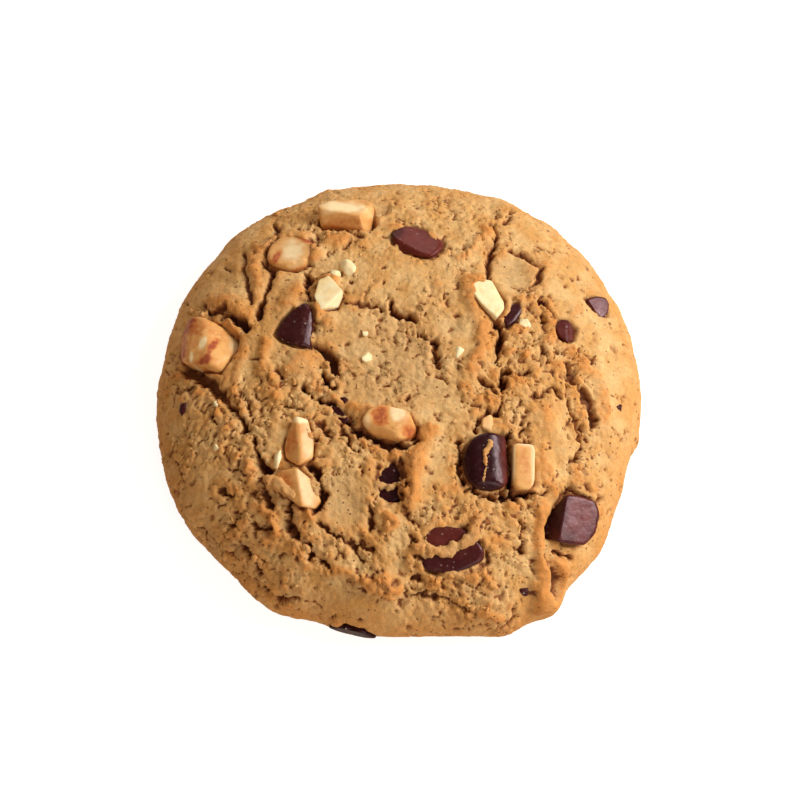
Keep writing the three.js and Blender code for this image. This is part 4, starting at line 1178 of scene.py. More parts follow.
@dataclass(frozen=True)
class NutFinish:
    """Chopped nut: waxy, faintly mottled flesh, browned where the oven reached its edges.

    flesh and deep mottle it, cream is where it stays pale and also a painted highlight on some faces, amber
    and brown where it is roasted, and browning is how much of its edges are.
    """

    name: str
    flesh: Colour
    deep: Colour
    brown: Colour
    # cream is pale flesh, and on some faces a painted highlight
    cream_and_highlight: Colour
    amber: Colour
    browning: float

    def material(self, specks: Tree, crumb: Tree) -> Material:
        """Builds the material.

        Args:
            specks: the speck group.
            crumb: the crumb grain group.

        Returns:
            The new material.
        """
        made, w, place = new_finish(self.name)
        grain = w.group(crumb, {"Place": place})
        marked = w.shown("toast")
        colour = w.blend(w.ramp(w.grain(place, 3.0, 3, 0.6), 0.35, 0.7), self.flesh, self.deep)
        # pale marks: pale flesh, and on some faces painted highlights
        colour = w.blend(w.product(marked, -1.0), colour, self.cream_and_highlight)
        patch = w.ramp(w.grain(place, 1.7, 3, 0.6), 0.45, 0.68)
        brown = w.product(patch, w.shown("edge"), self.browning)
        ragged = w.product(marked, w.ramp(w.grain(place, 0.7, 3, 0.65), 0.3, 0.7, 0.6, 1.3))
        brown = w.math("MAXIMUM", brown, ragged)
        colour = w.blend(w.ramp(brown, 0.12, 0.5), colour, self.amber)
        colour = w.blend(w.ramp(brown, 0.45, 0.95), colour, self.brown)
        colour = w.scaled(colour, w.ramp(grain.outputs["Tone"], 0.3, 0.7, 0.93, 1.05))
        height = w.math("ADD", w.grain(place, 1.1, 3, 0.55), w.product(grain.outputs["Height"], 0.3))
        bump = w.node("ShaderNodeBump", {"Strength": 0.35, "Distance": 0.16 * MM, "Height": height})
        shader = w.node("ShaderNodeBsdfPrincipled", {
            "Base Color": colour, "Roughness": w.ramp(patch, 0, 1, 0.48, 0.62), "Normal": bump.outputs[0],
            "Specular IOR Level": 0.4, "Subsurface Weight": 0.2, "Subsurface Radius": (1.0, 0.6, 0.3),
            "Subsurface Scale": 1.2 * MM,
        })
        w.node("ShaderNodeOutputMaterial", {0: shader.outputs[0]})
        return made


@dataclass
class Finishes:
    """Every material of the cookie, built once."""

    dough: Material = field(init=False)
    morsels: dict[Kind, Material] = field(init=False)

    def __post_init__(self) -> None:
        """Builds the shared groups and the materials."""
        shared = (speck_group(), crumb_group())
        self.dough = DoughFinish().material(*shared)
        roasted = NutFinish("roasted_nut_flesh", srgb(230, 174, 104), srgb(214, 150, 80), srgb(166, 78, 42),
                            srgb(250, 224, 174), srgb(206, 122, 58), 0.55)
        pale = NutFinish("pale_nut_flesh", srgb(250, 232, 184), srgb(242, 212, 150), srgb(206, 140, 70),
                         srgb(253, 240, 204), srgb(232, 188, 120), 0.25)
        self.morsels = {
            Kind.CHOCOLATE: ChocolateFinish().material(*shared),
            Kind.ROASTED: roasted.material(*shared),
            Kind.PALE: pale.material(*shared),
        }


# ------------------------------------------------------------------------------- the dough
@dataclass(frozen=True)
class Ground:
    """Chart places in the four ways that the relief reads them, and the pattern that the dough breaks in.

    true places are the chart's own. Shapes drawn on the ragged ones come out uneven, broad ones are drawn
    on the flowing ones, and the snapped ones are pulled to the middle of their chip of dough. chip and
    nugget say how far inside its chip and its nugget a place is, 0 to 1, and chip_pick and nugget_pick
    differ from one to the next.
    """

    true: Places
    ragged: Places
    flowing: Places
    snapped: Places
    chip: np.ndarray
    chip_pick: np.ndarray
    nugget: np.ndarray
    nugget_pick: np.ndarray


@dataclass
class Relief:
    """The dough's height above the plain dome at each chart place, and masks from 0 to 1.

    cracked is how deep in a crack, pit or gap a place is, and so how dark the painted shade there is, broken
    how crumbly, crest how far up a fold or a lump, picked differs from nugget to nugget, bare is 0 where a
    chunk or nut covers the dough, and paled is 1 where the oven left it pale: in the broad hollows and on the
    strands.
    """

    high: np.ndarray
    cracked: np.ndarray
    broken: np.ndarray
    crest: np.ndarray
    picked: np.ndarray
    bare: np.ndarray
    paled: np.ndarray


@dataclass
class Dough:
    """The baked dough: a fine skin of even triangles over the whole cookie, shaped by its relief.

    The ripples are the unevenness of its surface and of what is drawn on it. Shares are of a listed width
    or half size, and lengths are in millimetres.
    """

    body: Body
    top_rings: int = 172
    base_spacing: float = 1.2
    edge_spacing: float = 0.4  # on the base beside the foot
    rolling: tuple[Ripple, ...] = (Ripple(7.5, 0.32, 4), Ripple(3.4, 0.22, 5))
    ragged: tuple[Ripple, ...] = (Ripple(2.1, 0.42, 10), Ripple(0.95, 0.34, 11), Ripple(0.5, 0.16, 12))
    flowing: tuple[Ripple, ...] = (Ripple(5.5, 1.3, 50), Ripple(2.6, 0.6, 51))
    crumbling: Ripple = Ripple(6.5, 0.4, 6)
    fold_swing: Ripple = Ripple(3.7, 0.45, 7)
    strand_swing: Ripple = Ripple(2.2, 0.3, 8)
    pinch: Ripple = Ripple(2.7, 0.85, 60)
    lapping: Ripple = Ripple(3.1, 0.75, 140)
    fold_share: float = 0.62
    lump_share: float = 1.15
    hollow_share: float = 1.2
    texture_share: float = 1.3
    line_share: float = 0.27  # half the width of a crack's even cut
    chip_share: float = 0.4  # half the width of its chipped cut
    crumbly: float = 0.34  # how broken the dough is away from the textures
    darkest_depth: float = 1.9  # a crack is no darker below this
    pit_radius: float = 0.6
    pit_deep: float = 0.55
    drop_deep: float = 0.4  # what a dropped chip leaves
    chip: float = 1.25
    chip_high: float = 0.2  # how far a chip bulges
    chip_step: float = 0.2  # from the lowest to the highest
    nugget: float = 2.6
    nugget_high: float = 0.4
    nugget_step: float = 0.34
    snap: float = 0.6  # how far a crack's sides follow the chips, 0 to 1
    sink: float = 1.0  # from a morsel's top down to the dough under it
    deepest: float = -2.4  # how far down a morsel's sides are followed
    gap_wide: float = 0.36
    edge_high: float = 0.3  # most that the relief stands out at the rim

    def rings(self) -> tuple[np.ndarray, np.ndarray, np.ndarray, np.ndarray, list[int]]:
        """Lays out the vertices ring by ring from the crown to the middle of the base.

        Returns:
            Angle, distance from the crown along the surface, radius and height of each vertex, and the
            number of vertices in each ring.
        """
        body = self.body
        rings = []
        for k in range(self.top_rings + 1):
            away = body.to_foot * k / self.top_rings
            radius, height = (float(np.interp(away, body.reach, side)) for side in (body.wide, body.high))
            rings.append((max(1, 6 * k), away, radius, height))
        under = body.to_foot + 1
        radius, spacing = body.radius - body.foot, self.edge_spacing
        while radius > self.base_spacing:
            radius -= spacing
            spacing = min(self.base_spacing, spacing * 1.15)
            rings.append((max(6, round(2 * math.pi * radius / spacing)), under, radius, 0.0))
        rings.append((1, under, 0.0, 0.0))
        counts, *columns = zip(*rings)
        angles = np.concatenate([np.arange(count) * 2 * math.pi / count for count in counts])
        aways, radii, heights = (np.repeat(column, counts) for column in columns)
        return angles, aways, radii, heights, list(counts)

    def faces(self, counts: list[int]) -> list[tuple[int, int, int]]:
        """Zips each ring to the next with triangles whose outer side faces out.

        Args:
            counts: vertices in each ring.

        Returns:
            The triangles.
        """
        made = []
        start = 0
        for here, there in zip(counts, counts[1:]):
            after = start + here
            i = j = 0
            turns_here, turns_there = (here if here > 1 else 0), (there if there > 1 else 0)
            while i < turns_here or j < turns_there:
                step_here = i < turns_here and (j >= turns_there or (i + 1) * there <= (j + 1) * here)
                a, b = start + i % here, after + j % there
                if step_here:
                    made.append((a, b, start + (i + 1) % here))
                    i += 1
                else:
                    made.append((a, b, after + (j + 1) % there))
                    j += 1
            start = after
        return made

    def bend(self, u: np.ndarray, v: np.ndarray, ripples: tuple[Ripple, ...]) -> Places:
        """Shifts chart places by ripples, so that drawn lines come out ragged.

        Args:
            u: chart coordinates.
            v: chart coordinates.
            ripples: how far and how often they swing.

        Returns:
            The shifted coordinates.
        """
        bent_u, bent_v = u, v
        for ripple in ripples:
            bent_u = bent_u + ripple.at(u, v)
            bent_v = bent_v + ripple.at(u, v, 10)
        return bent_u, bent_v

    def ground(self, u: np.ndarray, v: np.ndarray) -> tuple[Ground, np.ndarray]:
        """Prepares chart places for the relief.

        Args:
            u: chart coordinates.
            v: chart coordinates.

        Returns:
            The ground, and how crumbly each place is before the cracks break it further.
        """
        ragged = self.bend(u, v, self.ragged)
        flowing = self.bend(*ragged, self.flowing)
        chip_u, chip_v, chip, chip_pick = cells(*ragged, self.chip, SEED + 30)
        _, _, nugget, nugget_pick = cells(*ragged, self.nugget, SEED + 34)
        broken = self.crumbly + self.crumbling.at(u, v) - 0.2 * smooth(40, 47, np.hypot(u, v))
        for patch in TEXTURES:
            broken += patch.high * dome(patch.share(u, v) / self.texture_share)
        snap = self.snap * smooth(0, 0.4, broken)
        snapped = (ragged[0] + snap * (chip_u - ragged[0]), ragged[1] + snap * (chip_v - ragged[1]))
        return Ground((u, v), ragged, flowing, snapped, chip, chip_pick, nugget, nugget_pick), broken

    def swell(self, ground: Ground, relief: Relief) -> None:
        """Raises the rolling surface, the folds and the lumps, and presses the hollows in.

        Args:
            ground: the places.
            relief: what it changes.
        """
        for ripple in self.rolling:
            relief.high += ripple.at(*ground.true)
        swing = 1 + self.fold_swing.at(*ground.true)
        for fold in FOLDS:
            rise = fold.high * swing * dome(fold.away(*ground.flowing) / (fold.wide * self.fold_share))
            relief.high += rise
            relief.crest = np.maximum(relief.crest, rise)
        for lump in LUMPS:
            rise = lump.high * dome(lump.share(*ground.flowing) / self.lump_share)
            relief.high += rise
            relief.crest = np.maximum(relief.crest, 0.6 * rise)
        for hollow in HOLLOWS:
            depth = dome(hollow.share(*ground.flowing) / self.hollow_share)
            relief.high -= hollow.high * depth
            relief.paled = np.maximum(relief.paled, np.sqrt(depth))

    def carve(self, ground: Ground, relief: Relief) -> None:
        """Cuts the cracks and the pits, raises the cracks' shoulders and drops single chips out, setting how
        dark the painted shade in each is.

        Args:
            ground: the places.
            relief: what it changes.
        """
        u, v = ground.true
        carved = np.zeros_like(u)
        for number, crack in enumerate(CRACKS):
            pinch = np.clip(1 + self.pinch.at(u, v, number), 0.2, 1.7)
            line = smooth(1, 0.4, crack.away(*ground.ragged) / (crack.wide * self.line_share * pinch))
            chips = smooth(1, 0.6, crack.away(*ground.snapped) / (crack.wide * self.chip_share * pinch))
            inside = np.maximum(0.7 * line, chips)
            carved = np.maximum(carved, crack.high * inside)
            # painted shade in the crack, darker the deeper it is, down to darkest_depth
            relief.cracked = np.maximum(relief.cracked, inside * min(1, crack.high / self.darkest_depth))
            shoulder = crack.away(u, v)
            relief.high += 0.14 * bell(shoulder - 1.4, 0.8) - 0.1 * bell(shoulder, 1.0)
            relief.broken += 0.4 * bell(shoulder, 1.7)
        relief.broken = np.clip(relief.broken, 0, 1)
        for pit_u, pit_v in PITS:
            away = np.hypot(ground.snapped[0] - pit_u, ground.snapped[1] - pit_v)
            inside = smooth(self.pit_radius, 0.15, away)
            carved = np.maximum(carved, self.pit_deep * inside)
            # painted shade in the pit
            relief.cracked = np.maximum(relief.cracked, 0.5 * inside)
        dropped = (ground.chip_pick < 0.02 + 0.05 * relief.broken) * ground.chip
        relief.high -= carved * (0.85 + 0.3 * ground.chip_pick) + self.drop_deep * dropped
        # painted shade where a chip dropped out
        relief.cracked = np.maximum(relief.cracked, 0.35 * dropped)

    def crumble(self, ground: Ground, relief: Relief) -> None:
        """Breaks the surface into nuggets and chips that stand at different heights.

        Args:
            ground: the places.
            relief: what it changes.
        """
        nuggets = self.nugget_high * (ground.nugget - 1) + self.nugget_step * (ground.nugget_pick - 0.5)
        chips = self.chip_high * (ground.chip - 1) + self.chip_step * (ground.chip_pick - 0.5)
        relief.high += relief.broken * nuggets
        relief.high += (0.3 + 0.7 * relief.broken) * chips

    def seat_morsels(self, ground: Ground, relief: Relief) -> None:
        """Sinks the dough under each chunk and nut piece, laps it over their rims and opens gaps there, with
        painted shade in the gaps.

        Args:
            ground: the places.
            relief: what it changes.
        """
        for number, morsel in enumerate(MORSELS):
            outside = morsel.footprint(*ground.true)
            ragged = 0.5 * outside + 0.5 * morsel.footprint(*ground.snapped)
            lap = smooth(-0.15, 0.35, morsel.lap + self.lapping.at(*ground.true, number))
            roof = np.clip(morsel.roof(*ground.true), self.deepest, morsel.proud)
            rim = np.maximum(roof, -0.6) + 0.15 + 0.3 * ground.chip_pick
            flap = lap * smooth(-1.1, -0.5, ragged) * smooth(2.6, 0.5, ragged)
            relief.high += flap * np.clip(rim - relief.high, -0.3, 1.4)
            gap = (0.1 + 0.6 * (1 - lap)) * bell(outside - 0.05, self.gap_wide)
            relief.high -= gap * (1 - 0.8 * flap)
            # painted shade in the gap beside the morsel, less where the dough laps over
            relief.cracked = np.maximum(relief.cracked, 0.8 * gap * (1 - flap))
            cover = smooth(0.15, -0.4, ragged + 0.9 * lap)
            sunk = np.minimum(relief.high, roof - self.sink)
            relief.high = relief.high * (1 - cover) + sunk * cover
            relief.bare *= 1 - smooth(0.6, -0.2, ragged)

    def lay_strands(self, ground: Ground, relief: Relief) -> None:
        """Lays the strands of dough over the chunks and nut pieces.

        Args:
            ground: the places.
            relief: what it changes.
        """
        swing = 1 + self.strand_swing.at(*ground.true)
        for strand in STRANDS:
            across = strand.away(*ground.ragged) / (strand.wide / 2 * swing)
            over = smooth(1.05, 0.6, across)
            ridge = strand.high * (0.9 + 0.25 * ground.nugget_pick) - 0.5 * np.clip(across, 0, 1) ** 2
            relief.high = relief.high * (1 - over) + np.maximum(relief.high, ridge) * over
            relief.cracked = relief.cracked * (1 - over)
            relief.paled = np.maximum(relief.paled, over)

    def relief(self, u: np.ndarray, v: np.ndarray) -> Relief:
        """Works out the baked relief at chart places.

        Args:
            u: chart coordinates.
            v: chart coordinates.

        Returns:
            Its height and the masks that go with it.
        """
        ground, broken = self.ground(u, v)
        picked = 0.5 * (ground.chip_pick + ground.nugget_pick)
        high, cracked, crest, paled = (np.zeros_like(u) for _ in range(4))
        relief = Relief(high, cracked, broken, crest, picked, np.ones_like(u), paled)
        for step in (self.swell, self.carve, self.crumble, self.seat_morsels, self.lay_strands):
            step(ground, relief)
        relief.cracked = np.clip(relief.cracked, 0, 1)
        relief.crest = np.clip(relief.crest, 0, 1)
        return relief

    def grain_tree(self) -> Tree:
        """Builds the tree that roughens the dough with nubs, short splits and grain.

        Returns:
            A Geometry Nodes tree that takes the size and height of each and moves the surface along the
            vectors stored as "out", by the share stored as "loose".
        """
        takes = {
            "Geometry": "Geometry", "Nub Size": ("Float", 0.85), "Nub Height": ("Float", 0.19),
            "Split Size": ("Float", 4.2), "Split Depth": ("Float", 0.5), "Grain Size": ("Float", 0.8),
            "Grain Height": ("Float", 0.13), "Finish": "Material",
        }
        tree, w, given = new_group("baked_grain", "GeometryNodeTree", takes, {"Geometry": "Geometry"})
        place = w.scaled(w.node("GeometryNodeInputPosition").outputs[0], 1 / MM)
        bent = w.vector("ADD", place, w.scaled(w.drift(place, 0.55, 3.0), 1.7))
        broken = w.math("ADD", w.product(w.held("broken"), 0.65), 0.35)
        nub_size = given["Nub Size"]
        nubs = w.node("ShaderNodeTexVoronoi", {"Vector": bent, "Scale": w.math("DIVIDE", 1.0, nub_size)})
        nub = w.ramp(nubs.outputs["Distance"], 0.1, 0.75, 0.5, -0.7)
        nub = w.product(nub, given["Nub Height"], broken)
        split_size = given["Split Size"]
        edges = w.node("ShaderNodeTexVoronoi", {"Vector": bent, "Scale": w.math("DIVIDE", 1.0, split_size)},
                       feature="DISTANCE_TO_EDGE")
        split = w.ramp(w.product(edges.outputs["Distance"], split_size), 0.03, 0.3, 1, 0)
        some = w.ramp(w.math("ADD", w.grain(place, 3.6, 2), w.product(broken, 0.18)), 0.62, 0.74)
        split = w.product(split, some, given["Split Depth"])
        fine = w.node("ShaderNodeTexNoise", {
            "Vector": place, "Scale": w.math("DIVIDE", 1.0, given["Grain Size"]),
            "Detail": 3.0, "Roughness": 0.62,
        }).outputs[0]
        fine = w.product(w.math("SUBTRACT", fine, 0.5), given["Grain Height"])
        rise = w.math("SUBTRACT", w.math("ADD", nub, w.product(fine, 2.0)), split)
        rise = w.product(rise, w.held("loose"), MM)
        moved = w.node("GeometryNodeSetPosition", {
            "Geometry": given["Geometry"], "Offset": w.scaled(w.held("out", "FLOAT_VECTOR"), rise)})
        real = w.node("GeometryNodeRealizeInstances", {"Geometry": moved.outputs[0]})
        dressed = w.node("GeometryNodeSetMaterial", {
            "Geometry": real.outputs[0], "Material": given["Finish"]})
        w.node("NodeGroupOutput", {"Geometry": dressed.outputs[0]})
        return tree

    def colour_masks(self, piece: Piece, faces: np.ndarray, out: np.ndarray, top: np.ndarray,
                     away: np.ndarray, relief: Relief) -> None:
        """Stores where the dough is toasted and hollow, and how dark the painted shade is in its cracks and
        recesses, for its material.

        Args:
            piece: the finished dough.
            faces: its triangles.
            out: outward direction of each vertex.
            top: 1 on the top and wall, 0 on the base.
            away: distance of each vertex from the crown along the surface.
            relief: the relief it was made with.
        """
        points = read_points(piece)
        ends = np.concatenate([faces[:, :2], faces[:, 1:], faces[:, ::2]])
        ends = np.concatenate([ends, ends[:, ::-1]])
        near = soften(points, ends, 10)
        far = soften(near, ends, 80)
        stands_near = np.sum((points - near) * out, axis=1)
        stands_far = np.sum((near - far) * out, axis=1)
        toast = smooth(0.04, 0.5, stands_far) * (0.25 + 0.7 * relief.picked)
        toast += 0.3 * smooth(0.08, 0.24, stands_near)
        crested = 0.6 * relief.crest * (0.5 + 0.6 * relief.picked)
        toast += 0.45 * (relief.picked - 0.5) * relief.broken + crested
        rim = smooth(self.body.to_waist - 14, self.body.to_waist + 1, away)
        toast = np.maximum(toast, (0.45 + 0.35 * relief.picked) * rim)
        hollow = np.maximum(smooth(-0.05, -0.5, stands_far), 0.75 * relief.paled)
        toast *= 1 - 0.45 * relief.paled
        # painted shade: the cracks' mask, and darkening wherever the surface dips below its close neighbours
        crack = np.maximum(relief.cracked, smooth(-0.12, -0.4, stands_near) * 0.85)
        write_number(piece, "toast", np.where(top > 0, np.clip(toast, 0, 1), 0.75))
        write_number(piece, "hollow", hollow * top)
        write_number(piece, "crack", crack * top)
        inner = smooth(self.body.to_waist - 2, self.body.to_waist - 7, away)
        loose = relief.broken * (1 - 0.7 * relief.cracked)
        write_number(piece, "crumbly", top * inner * relief.bare * np.clip(loose, 0, 1))

    def build(self, finish: Material) -> Piece:
        """Makes the dough.

        Args:
            finish: its material.

        Returns:
            The finished piece.
        """
        angle, away, radius, height, counts = self.rings()
        faces = np.array(self.faces(counts))
        u, v = away * np.cos(angle), away * np.sin(angle)
        top = (away <= self.body.to_foot).astype(float)
        points = self.body.ring(angle, radius, height)
        _, _, out = self.body.axes(u, v)
        out[top == 0] = (0, 0, -1)
        relief = self.relief(u, v)
        loose = top * smooth(self.body.to_foot - 0.4, self.body.to_waist - 2.5, away)
        edge = smooth(self.body.to_waist - 5, self.body.to_waist, away)
        high = relief.high - edge * np.clip(relief.high - self.edge_high, 0, None)
        points += out * (high * loose)[:, None]
        points[:, 2] = np.maximum(points[:, 2], 0)
        piece = make_piece("cookie_dough", points, faces.tolist())
        write_vector(piece, "out", out)
        write_number(piece, "loose", loose)
        write_number(piece, "broken", relief.broken)
        run_tree(piece, self.grain_tree(), {"Finish": finish})
        self.colour_masks(piece, faces, out, top, away, relief)
        return piece


@dataclass
class Crumbs:
    """Loose and half-buried crumbs of dough, scattered where its surface is broken.

    per_area is how many lie on a square millimetre of the most broken dough, least and most are their
    widths in millimetres, detail is how finely each is meshed, and sunk how far it sinks, as a share of
    its half width.
    """

    name: str
    per_area: float
    least: float
    most: float
    detail: int
    seed: int
    sunk: float = 0.6

    def tree(self) -> Tree:
        """Builds the tree that scatters crumbs over a surface.

        Returns:
            A Geometry Nodes tree that takes crumbs per square millimetre, the least and most width in
            millimetres, how far they sink, how rough they are and a seed, and gives the crumbs alone.
        """
        takes = {
            "Geometry": "Geometry", "Per Area": ("Float", 0.3), "Least": ("Float", 0.4),
            "Most": ("Float", 1.6), "Sunk": ("Float", 0.4), "Roughness": ("Float", 0.34),
            "Seed": ("Int", 1), "Finish": "Material",
        }
        tree, w, given = new_group(self.name, "GeometryNodeTree", takes, {"Geometry": "Geometry"})
        per_metre = w.product(given["Per Area"], 1 / MM ** 2)
        density = w.product(w.math("POWER", w.held("crumbly"), 2.0), per_metre)
        spots = w.node("GeometryNodeDistributePointsOnFaces", {
            "Mesh": given["Geometry"], "Density": density, "Seed": given["Seed"]})
        lot = w.node("FunctionNodeRandomValue", {"Seed": given["Seed"]}, data_type="FLOAT")
        size = w.node("ShaderNodeMapRange", {
            "Value": w.math("POWER", lot.outputs[1], 2.0), "To Min": given["Least"],
            "To Max": given["Most"]}).outputs[0]
        sized = w.node("GeometryNodeStoreNamedAttribute",
                       {"Geometry": spots.outputs["Points"], "Name": "size", "Value": size},
                       data_type="FLOAT", domain="POINT")
        sink = w.product(w.held("size"), given["Sunk"], -0.5 * MM)
        set_in = w.node("GeometryNodeSetPosition", {
            "Geometry": sized.outputs[0], "Offset": w.scaled(spots.outputs["Normal"], sink)})
        ball = w.node("GeometryNodeMeshIcoSphere", {"Radius": 0.5 * MM, "Subdivisions": self.detail})
        full_turn = 6.283  # radians
        turn = w.node("FunctionNodeRandomValue", {1: (full_turn, full_turn, full_turn), "Seed": 7},
                      data_type="FLOAT_VECTOR")
        stretch = w.node("FunctionNodeRandomValue", {0: (0.75, 0.75, 0.65), 1: (1.35, 1.2, 1.0), "Seed": 8},
                         data_type="FLOAT_VECTOR")
        placed = w.node("GeometryNodeInstanceOnPoints", {
            "Points": set_in.outputs[0], "Instance": ball.outputs[0], "Rotation": turn.outputs[0],
            "Scale": w.scaled(stretch.outputs[0], w.held("size"))})
        real = w.node("GeometryNodeRealizeInstances", {"Geometry": placed.outputs[0]})
        place = w.scaled(w.node("GeometryNodeInputPosition").outputs[0], 1 / MM)
        drift = w.vector("SUBTRACT", w.drift(place, 1.5, 2.0), (0.5, 0.5, 0.5))
        swing = w.product(w.held("size"), given["Roughness"], 4 * MM)
        worn = w.node("GeometryNodeSetPosition", {
            "Geometry": real.outputs[0], "Offset": w.scaled(drift, swing)})
        shaded = w.node("GeometryNodeSetShadeSmooth", {"Geometry": worn.outputs[0]})
        dressed = w.node("GeometryNodeSetMaterial", {
            "Geometry": shaded.outputs[0], "Material": given["Finish"]})
        w.node("NodeGroupOutput", {"Geometry": dressed.outputs[0]})
        return tree

    def build(self, dough: Piece, finish: Material) -> Piece:
        """Scatters the crumbs on the dough.

        Args:
            dough: the finished dough, with its masks.
            finish: the crumbs' material.

        Returns:
            All the crumbs as one piece.
        """
        piece = bpy.data.objects.new(self.name, dough.data.copy())
        bpy.context.scene.collection.objects.link(piece)
        run_tree(piece, self.tree(), {"Per Area": self.per_area, "Least": self.least, "Most": self.most,
                                      "Sunk": self.sunk, "Seed": self.seed, "Finish": finish})
        return piece


# ------------------------------------------------------------------------------- chunks, nuts and bits
@dataclass
class MorselMaker:
    """Makes each chunk and nut piece as a finely meshed solid with worn edges.

    chocolate_rough and nut_rough are how uneven the faces are and chip_deep how deep the chips in the
    edges, in millimetres. bit_reach is how far a bit's faces lie from its middle and bit_sunk how far the
    middle lies below its top, as shares of the bit's width.
    """

    body: Body
    divisions: int = 24
    chocolate_rough: float = 0.05
    nut_rough: float = 0.07
    chip_deep: float = 0.24
    mark_edge: Ripple = Ripple(1.1, 0.25, 9)
    bit_divisions: int = 7
    bit_faces: int = 12
    bit_uneven: float = 0.22
    bit_reach: tuple[float, float] = (0.32, 0.6)
    bit_hard: float = 20
    bit_sunk: float = 0.55
    bit_edge: float = 0.3
    bit_toast: float = -0.2

    def aims(self, divisions: int) -> tuple[np.ndarray, np.ndarray]:
        """Spreads directions evenly over a ball.

        Args:
            divisions: cuts across each side of the cube that the ball starts as.

        Returns:
            Unit vectors, one a row, and the triangles between them.
        """
        shell = bpy.data.meshes.new("aims")
        ball = bmesh.new()
        bmesh.ops.create_cube(ball, size=2)
        bmesh.ops.subdivide_edges(ball, edges=ball.edges, cuts=divisions, use_grid_fill=True)
        bmesh.ops.triangulate(ball, faces=ball.faces)
        ball.to_mesh(shell)
        ball.free()
        aim = np.array([vert.co for vert in shell.vertices])
        faces = np.array([tuple(face.vertices) for face in shell.polygons])
        bpy.data.meshes.remove(shell)
        return aim / np.linalg.norm(aim, axis=1, keepdims=True), faces

    def seat(self, middle: Place, local: np.ndarray, height: float) -> np.ndarray:
        """Moves points from a morsel's own frame to its place on the cookie.

        Args:
            middle: chart place of the morsel.
            local: points about its middle.
            height: height of its middle above the dome.

        Returns:
            The moved points.
        """
        u, v = np.array([middle[0]]), np.array([middle[1]])
        along, across, out = self.body.axes(u, v)
        turned = local @ np.concatenate([along, across, out])
        return self.body.point(u, v) + out * height + turned

    def wear(self, local: np.ndarray, edge: np.ndarray, depth: float, seed: int) -> np.ndarray:
        """Gives how far uneven faces and chipped edges move each point of a broken piece in or out.

        Args:
            local: points about the piece's middle.
            edge: how near an edge each is, 0 to 1.
            depth: unevenness of the faces, in millimetres.
            seed: another seed gives other wear.

        Returns:
            Distances in millimetres, below 0 inwards.
        """
        x, y, z = local.T
        uneven = noise(x + 0.3 * z, y - 0.4 * z, 3.1, seed)
        uneven += 0.5 * noise(x - 0.5 * z, y + 0.3 * z, 1.3, seed + 1)
        chips = smooth(0.1, 0.8, noise(x - z, y + z, 0.9, seed + 2))
        return depth * uneven - self.chip_deep * chips * edge

    def build(self, morsel: Morsel, finish: Material, number: int) -> Piece:
        """Makes one morsel.

        Args:
            morsel: what to make.
            finish: its material.
            number: its place in the list, which seeds its wear.

        Returns:
            The finished piece.
        """
        aim, faces = self.aims(self.divisions)
        normals, reaches = morsel.planes()
        reach = soft_radius(aim, normals, reaches, morsel.hard)
        flat = 1 / np.max(np.clip(aim @ normals.T / reaches, 1e-6, None), axis=1)
        edge = smooth(0.01, 0.07, 1 - reach / flat)
        local = aim * reach[:, None]
        rough = self.chocolate_rough if morsel.kind is Kind.CHOCOLATE else self.nut_rough
        local += aim * self.wear(local, edge, rough, SEED + 100 + 7 * number)[:, None]
        middle = morsel.middle
        points = self.seat(middle, local, morsel.proud - morsel.thick / 2)
        piece = make_piece(f"{morsel.name}_piece", points, faces.tolist())
        u, v = middle[0] + local[:, 0], middle[1] + local[:, 1]
        ragged = self.mark_edge.at(local[:, 0], local[:, 1] + local[:, 2])
        # the marks: painted light and shade on a chocolate chunk; roasted brown, pale flesh and some painted
        # highlights on a nut piece
        toast = np.zeros(len(aim))
        for mark in morsel.marks:
            toast += mark.high * smooth(1.25, 0.4, mark.share(u, v) + ragged)
        write_number(piece, "edge", edge)
        write_number(piece, "toast", np.clip(toast, -1, 1))
        piece.data.materials.append(finish)
        return piece

    def build_bits(self, kind: Kind, finish: Material) -> Piece:
        """Makes all the bits of one kind as one piece.

        Args:
            kind: which bits.
            finish: their material.

        Returns:
            The finished piece.
        """
        aim, faces = self.aims(self.bit_divisions)
        draw = np.random.default_rng(SEED + list(Kind).index(kind))
        points, triangles = [], []
        for bit in (bit for bit in BITS if bit.kind is kind):
            normals = spread(self.bit_faces) + self.bit_uneven * draw.normal(size=(self.bit_faces, 3))
            normals /= np.linalg.norm(normals, axis=1, keepdims=True)
            reaches = draw.uniform(*self.bit_reach, len(normals)) * bit.across
            local = aim * soft_radius(aim, normals, reaches, self.bit_hard)[:, None] * (1, bit.long, 1)
            cos, sin = math.cos(math.radians(bit.turn)), math.sin(math.radians(bit.turn))
            local = local @ np.array([(cos, sin, 0), (-sin, cos, 0), (0, 0, 1)])
            triangles.append(faces + len(aim) * len(points))
            points.append(self.seat(bit.at, local, bit.proud - self.bit_sunk * bit.across))
        points, triangles = np.concatenate(points), np.concatenate(triangles)
        piece = make_piece(f"cookie_bits_{kind.value}", points, triangles.tolist())
        write_number(piece, "edge", np.full(len(points), self.bit_edge))
        write_number(piece, "toast", np.full(len(points), self.bit_toast))
        piece.data.materials.append(finish)
        return piece


# ------------------------------------------------------------------------------- the studio
@dataclass(frozen=True)
class Lamp:
    """One square soft light that faces the cookie: place and side in metres, power in watts."""

    name: str
    place: tuple[float, float, float]
    side: float
    power: float

    def hang(self) -> None:
        """Makes the light."""
        light = bpy.data.lights.new(self.name, "AREA")
        light.size = self.side
        light.energy = self.power
        hung = bpy.data.objects.new(self.name, light)
        hung.location = self.place
        hung.rotation_euler = (-Vector(self.place)).to_track_quat("-Z", "Y").to_euler()
        bpy.context.scene.collection.objects.link(hung)


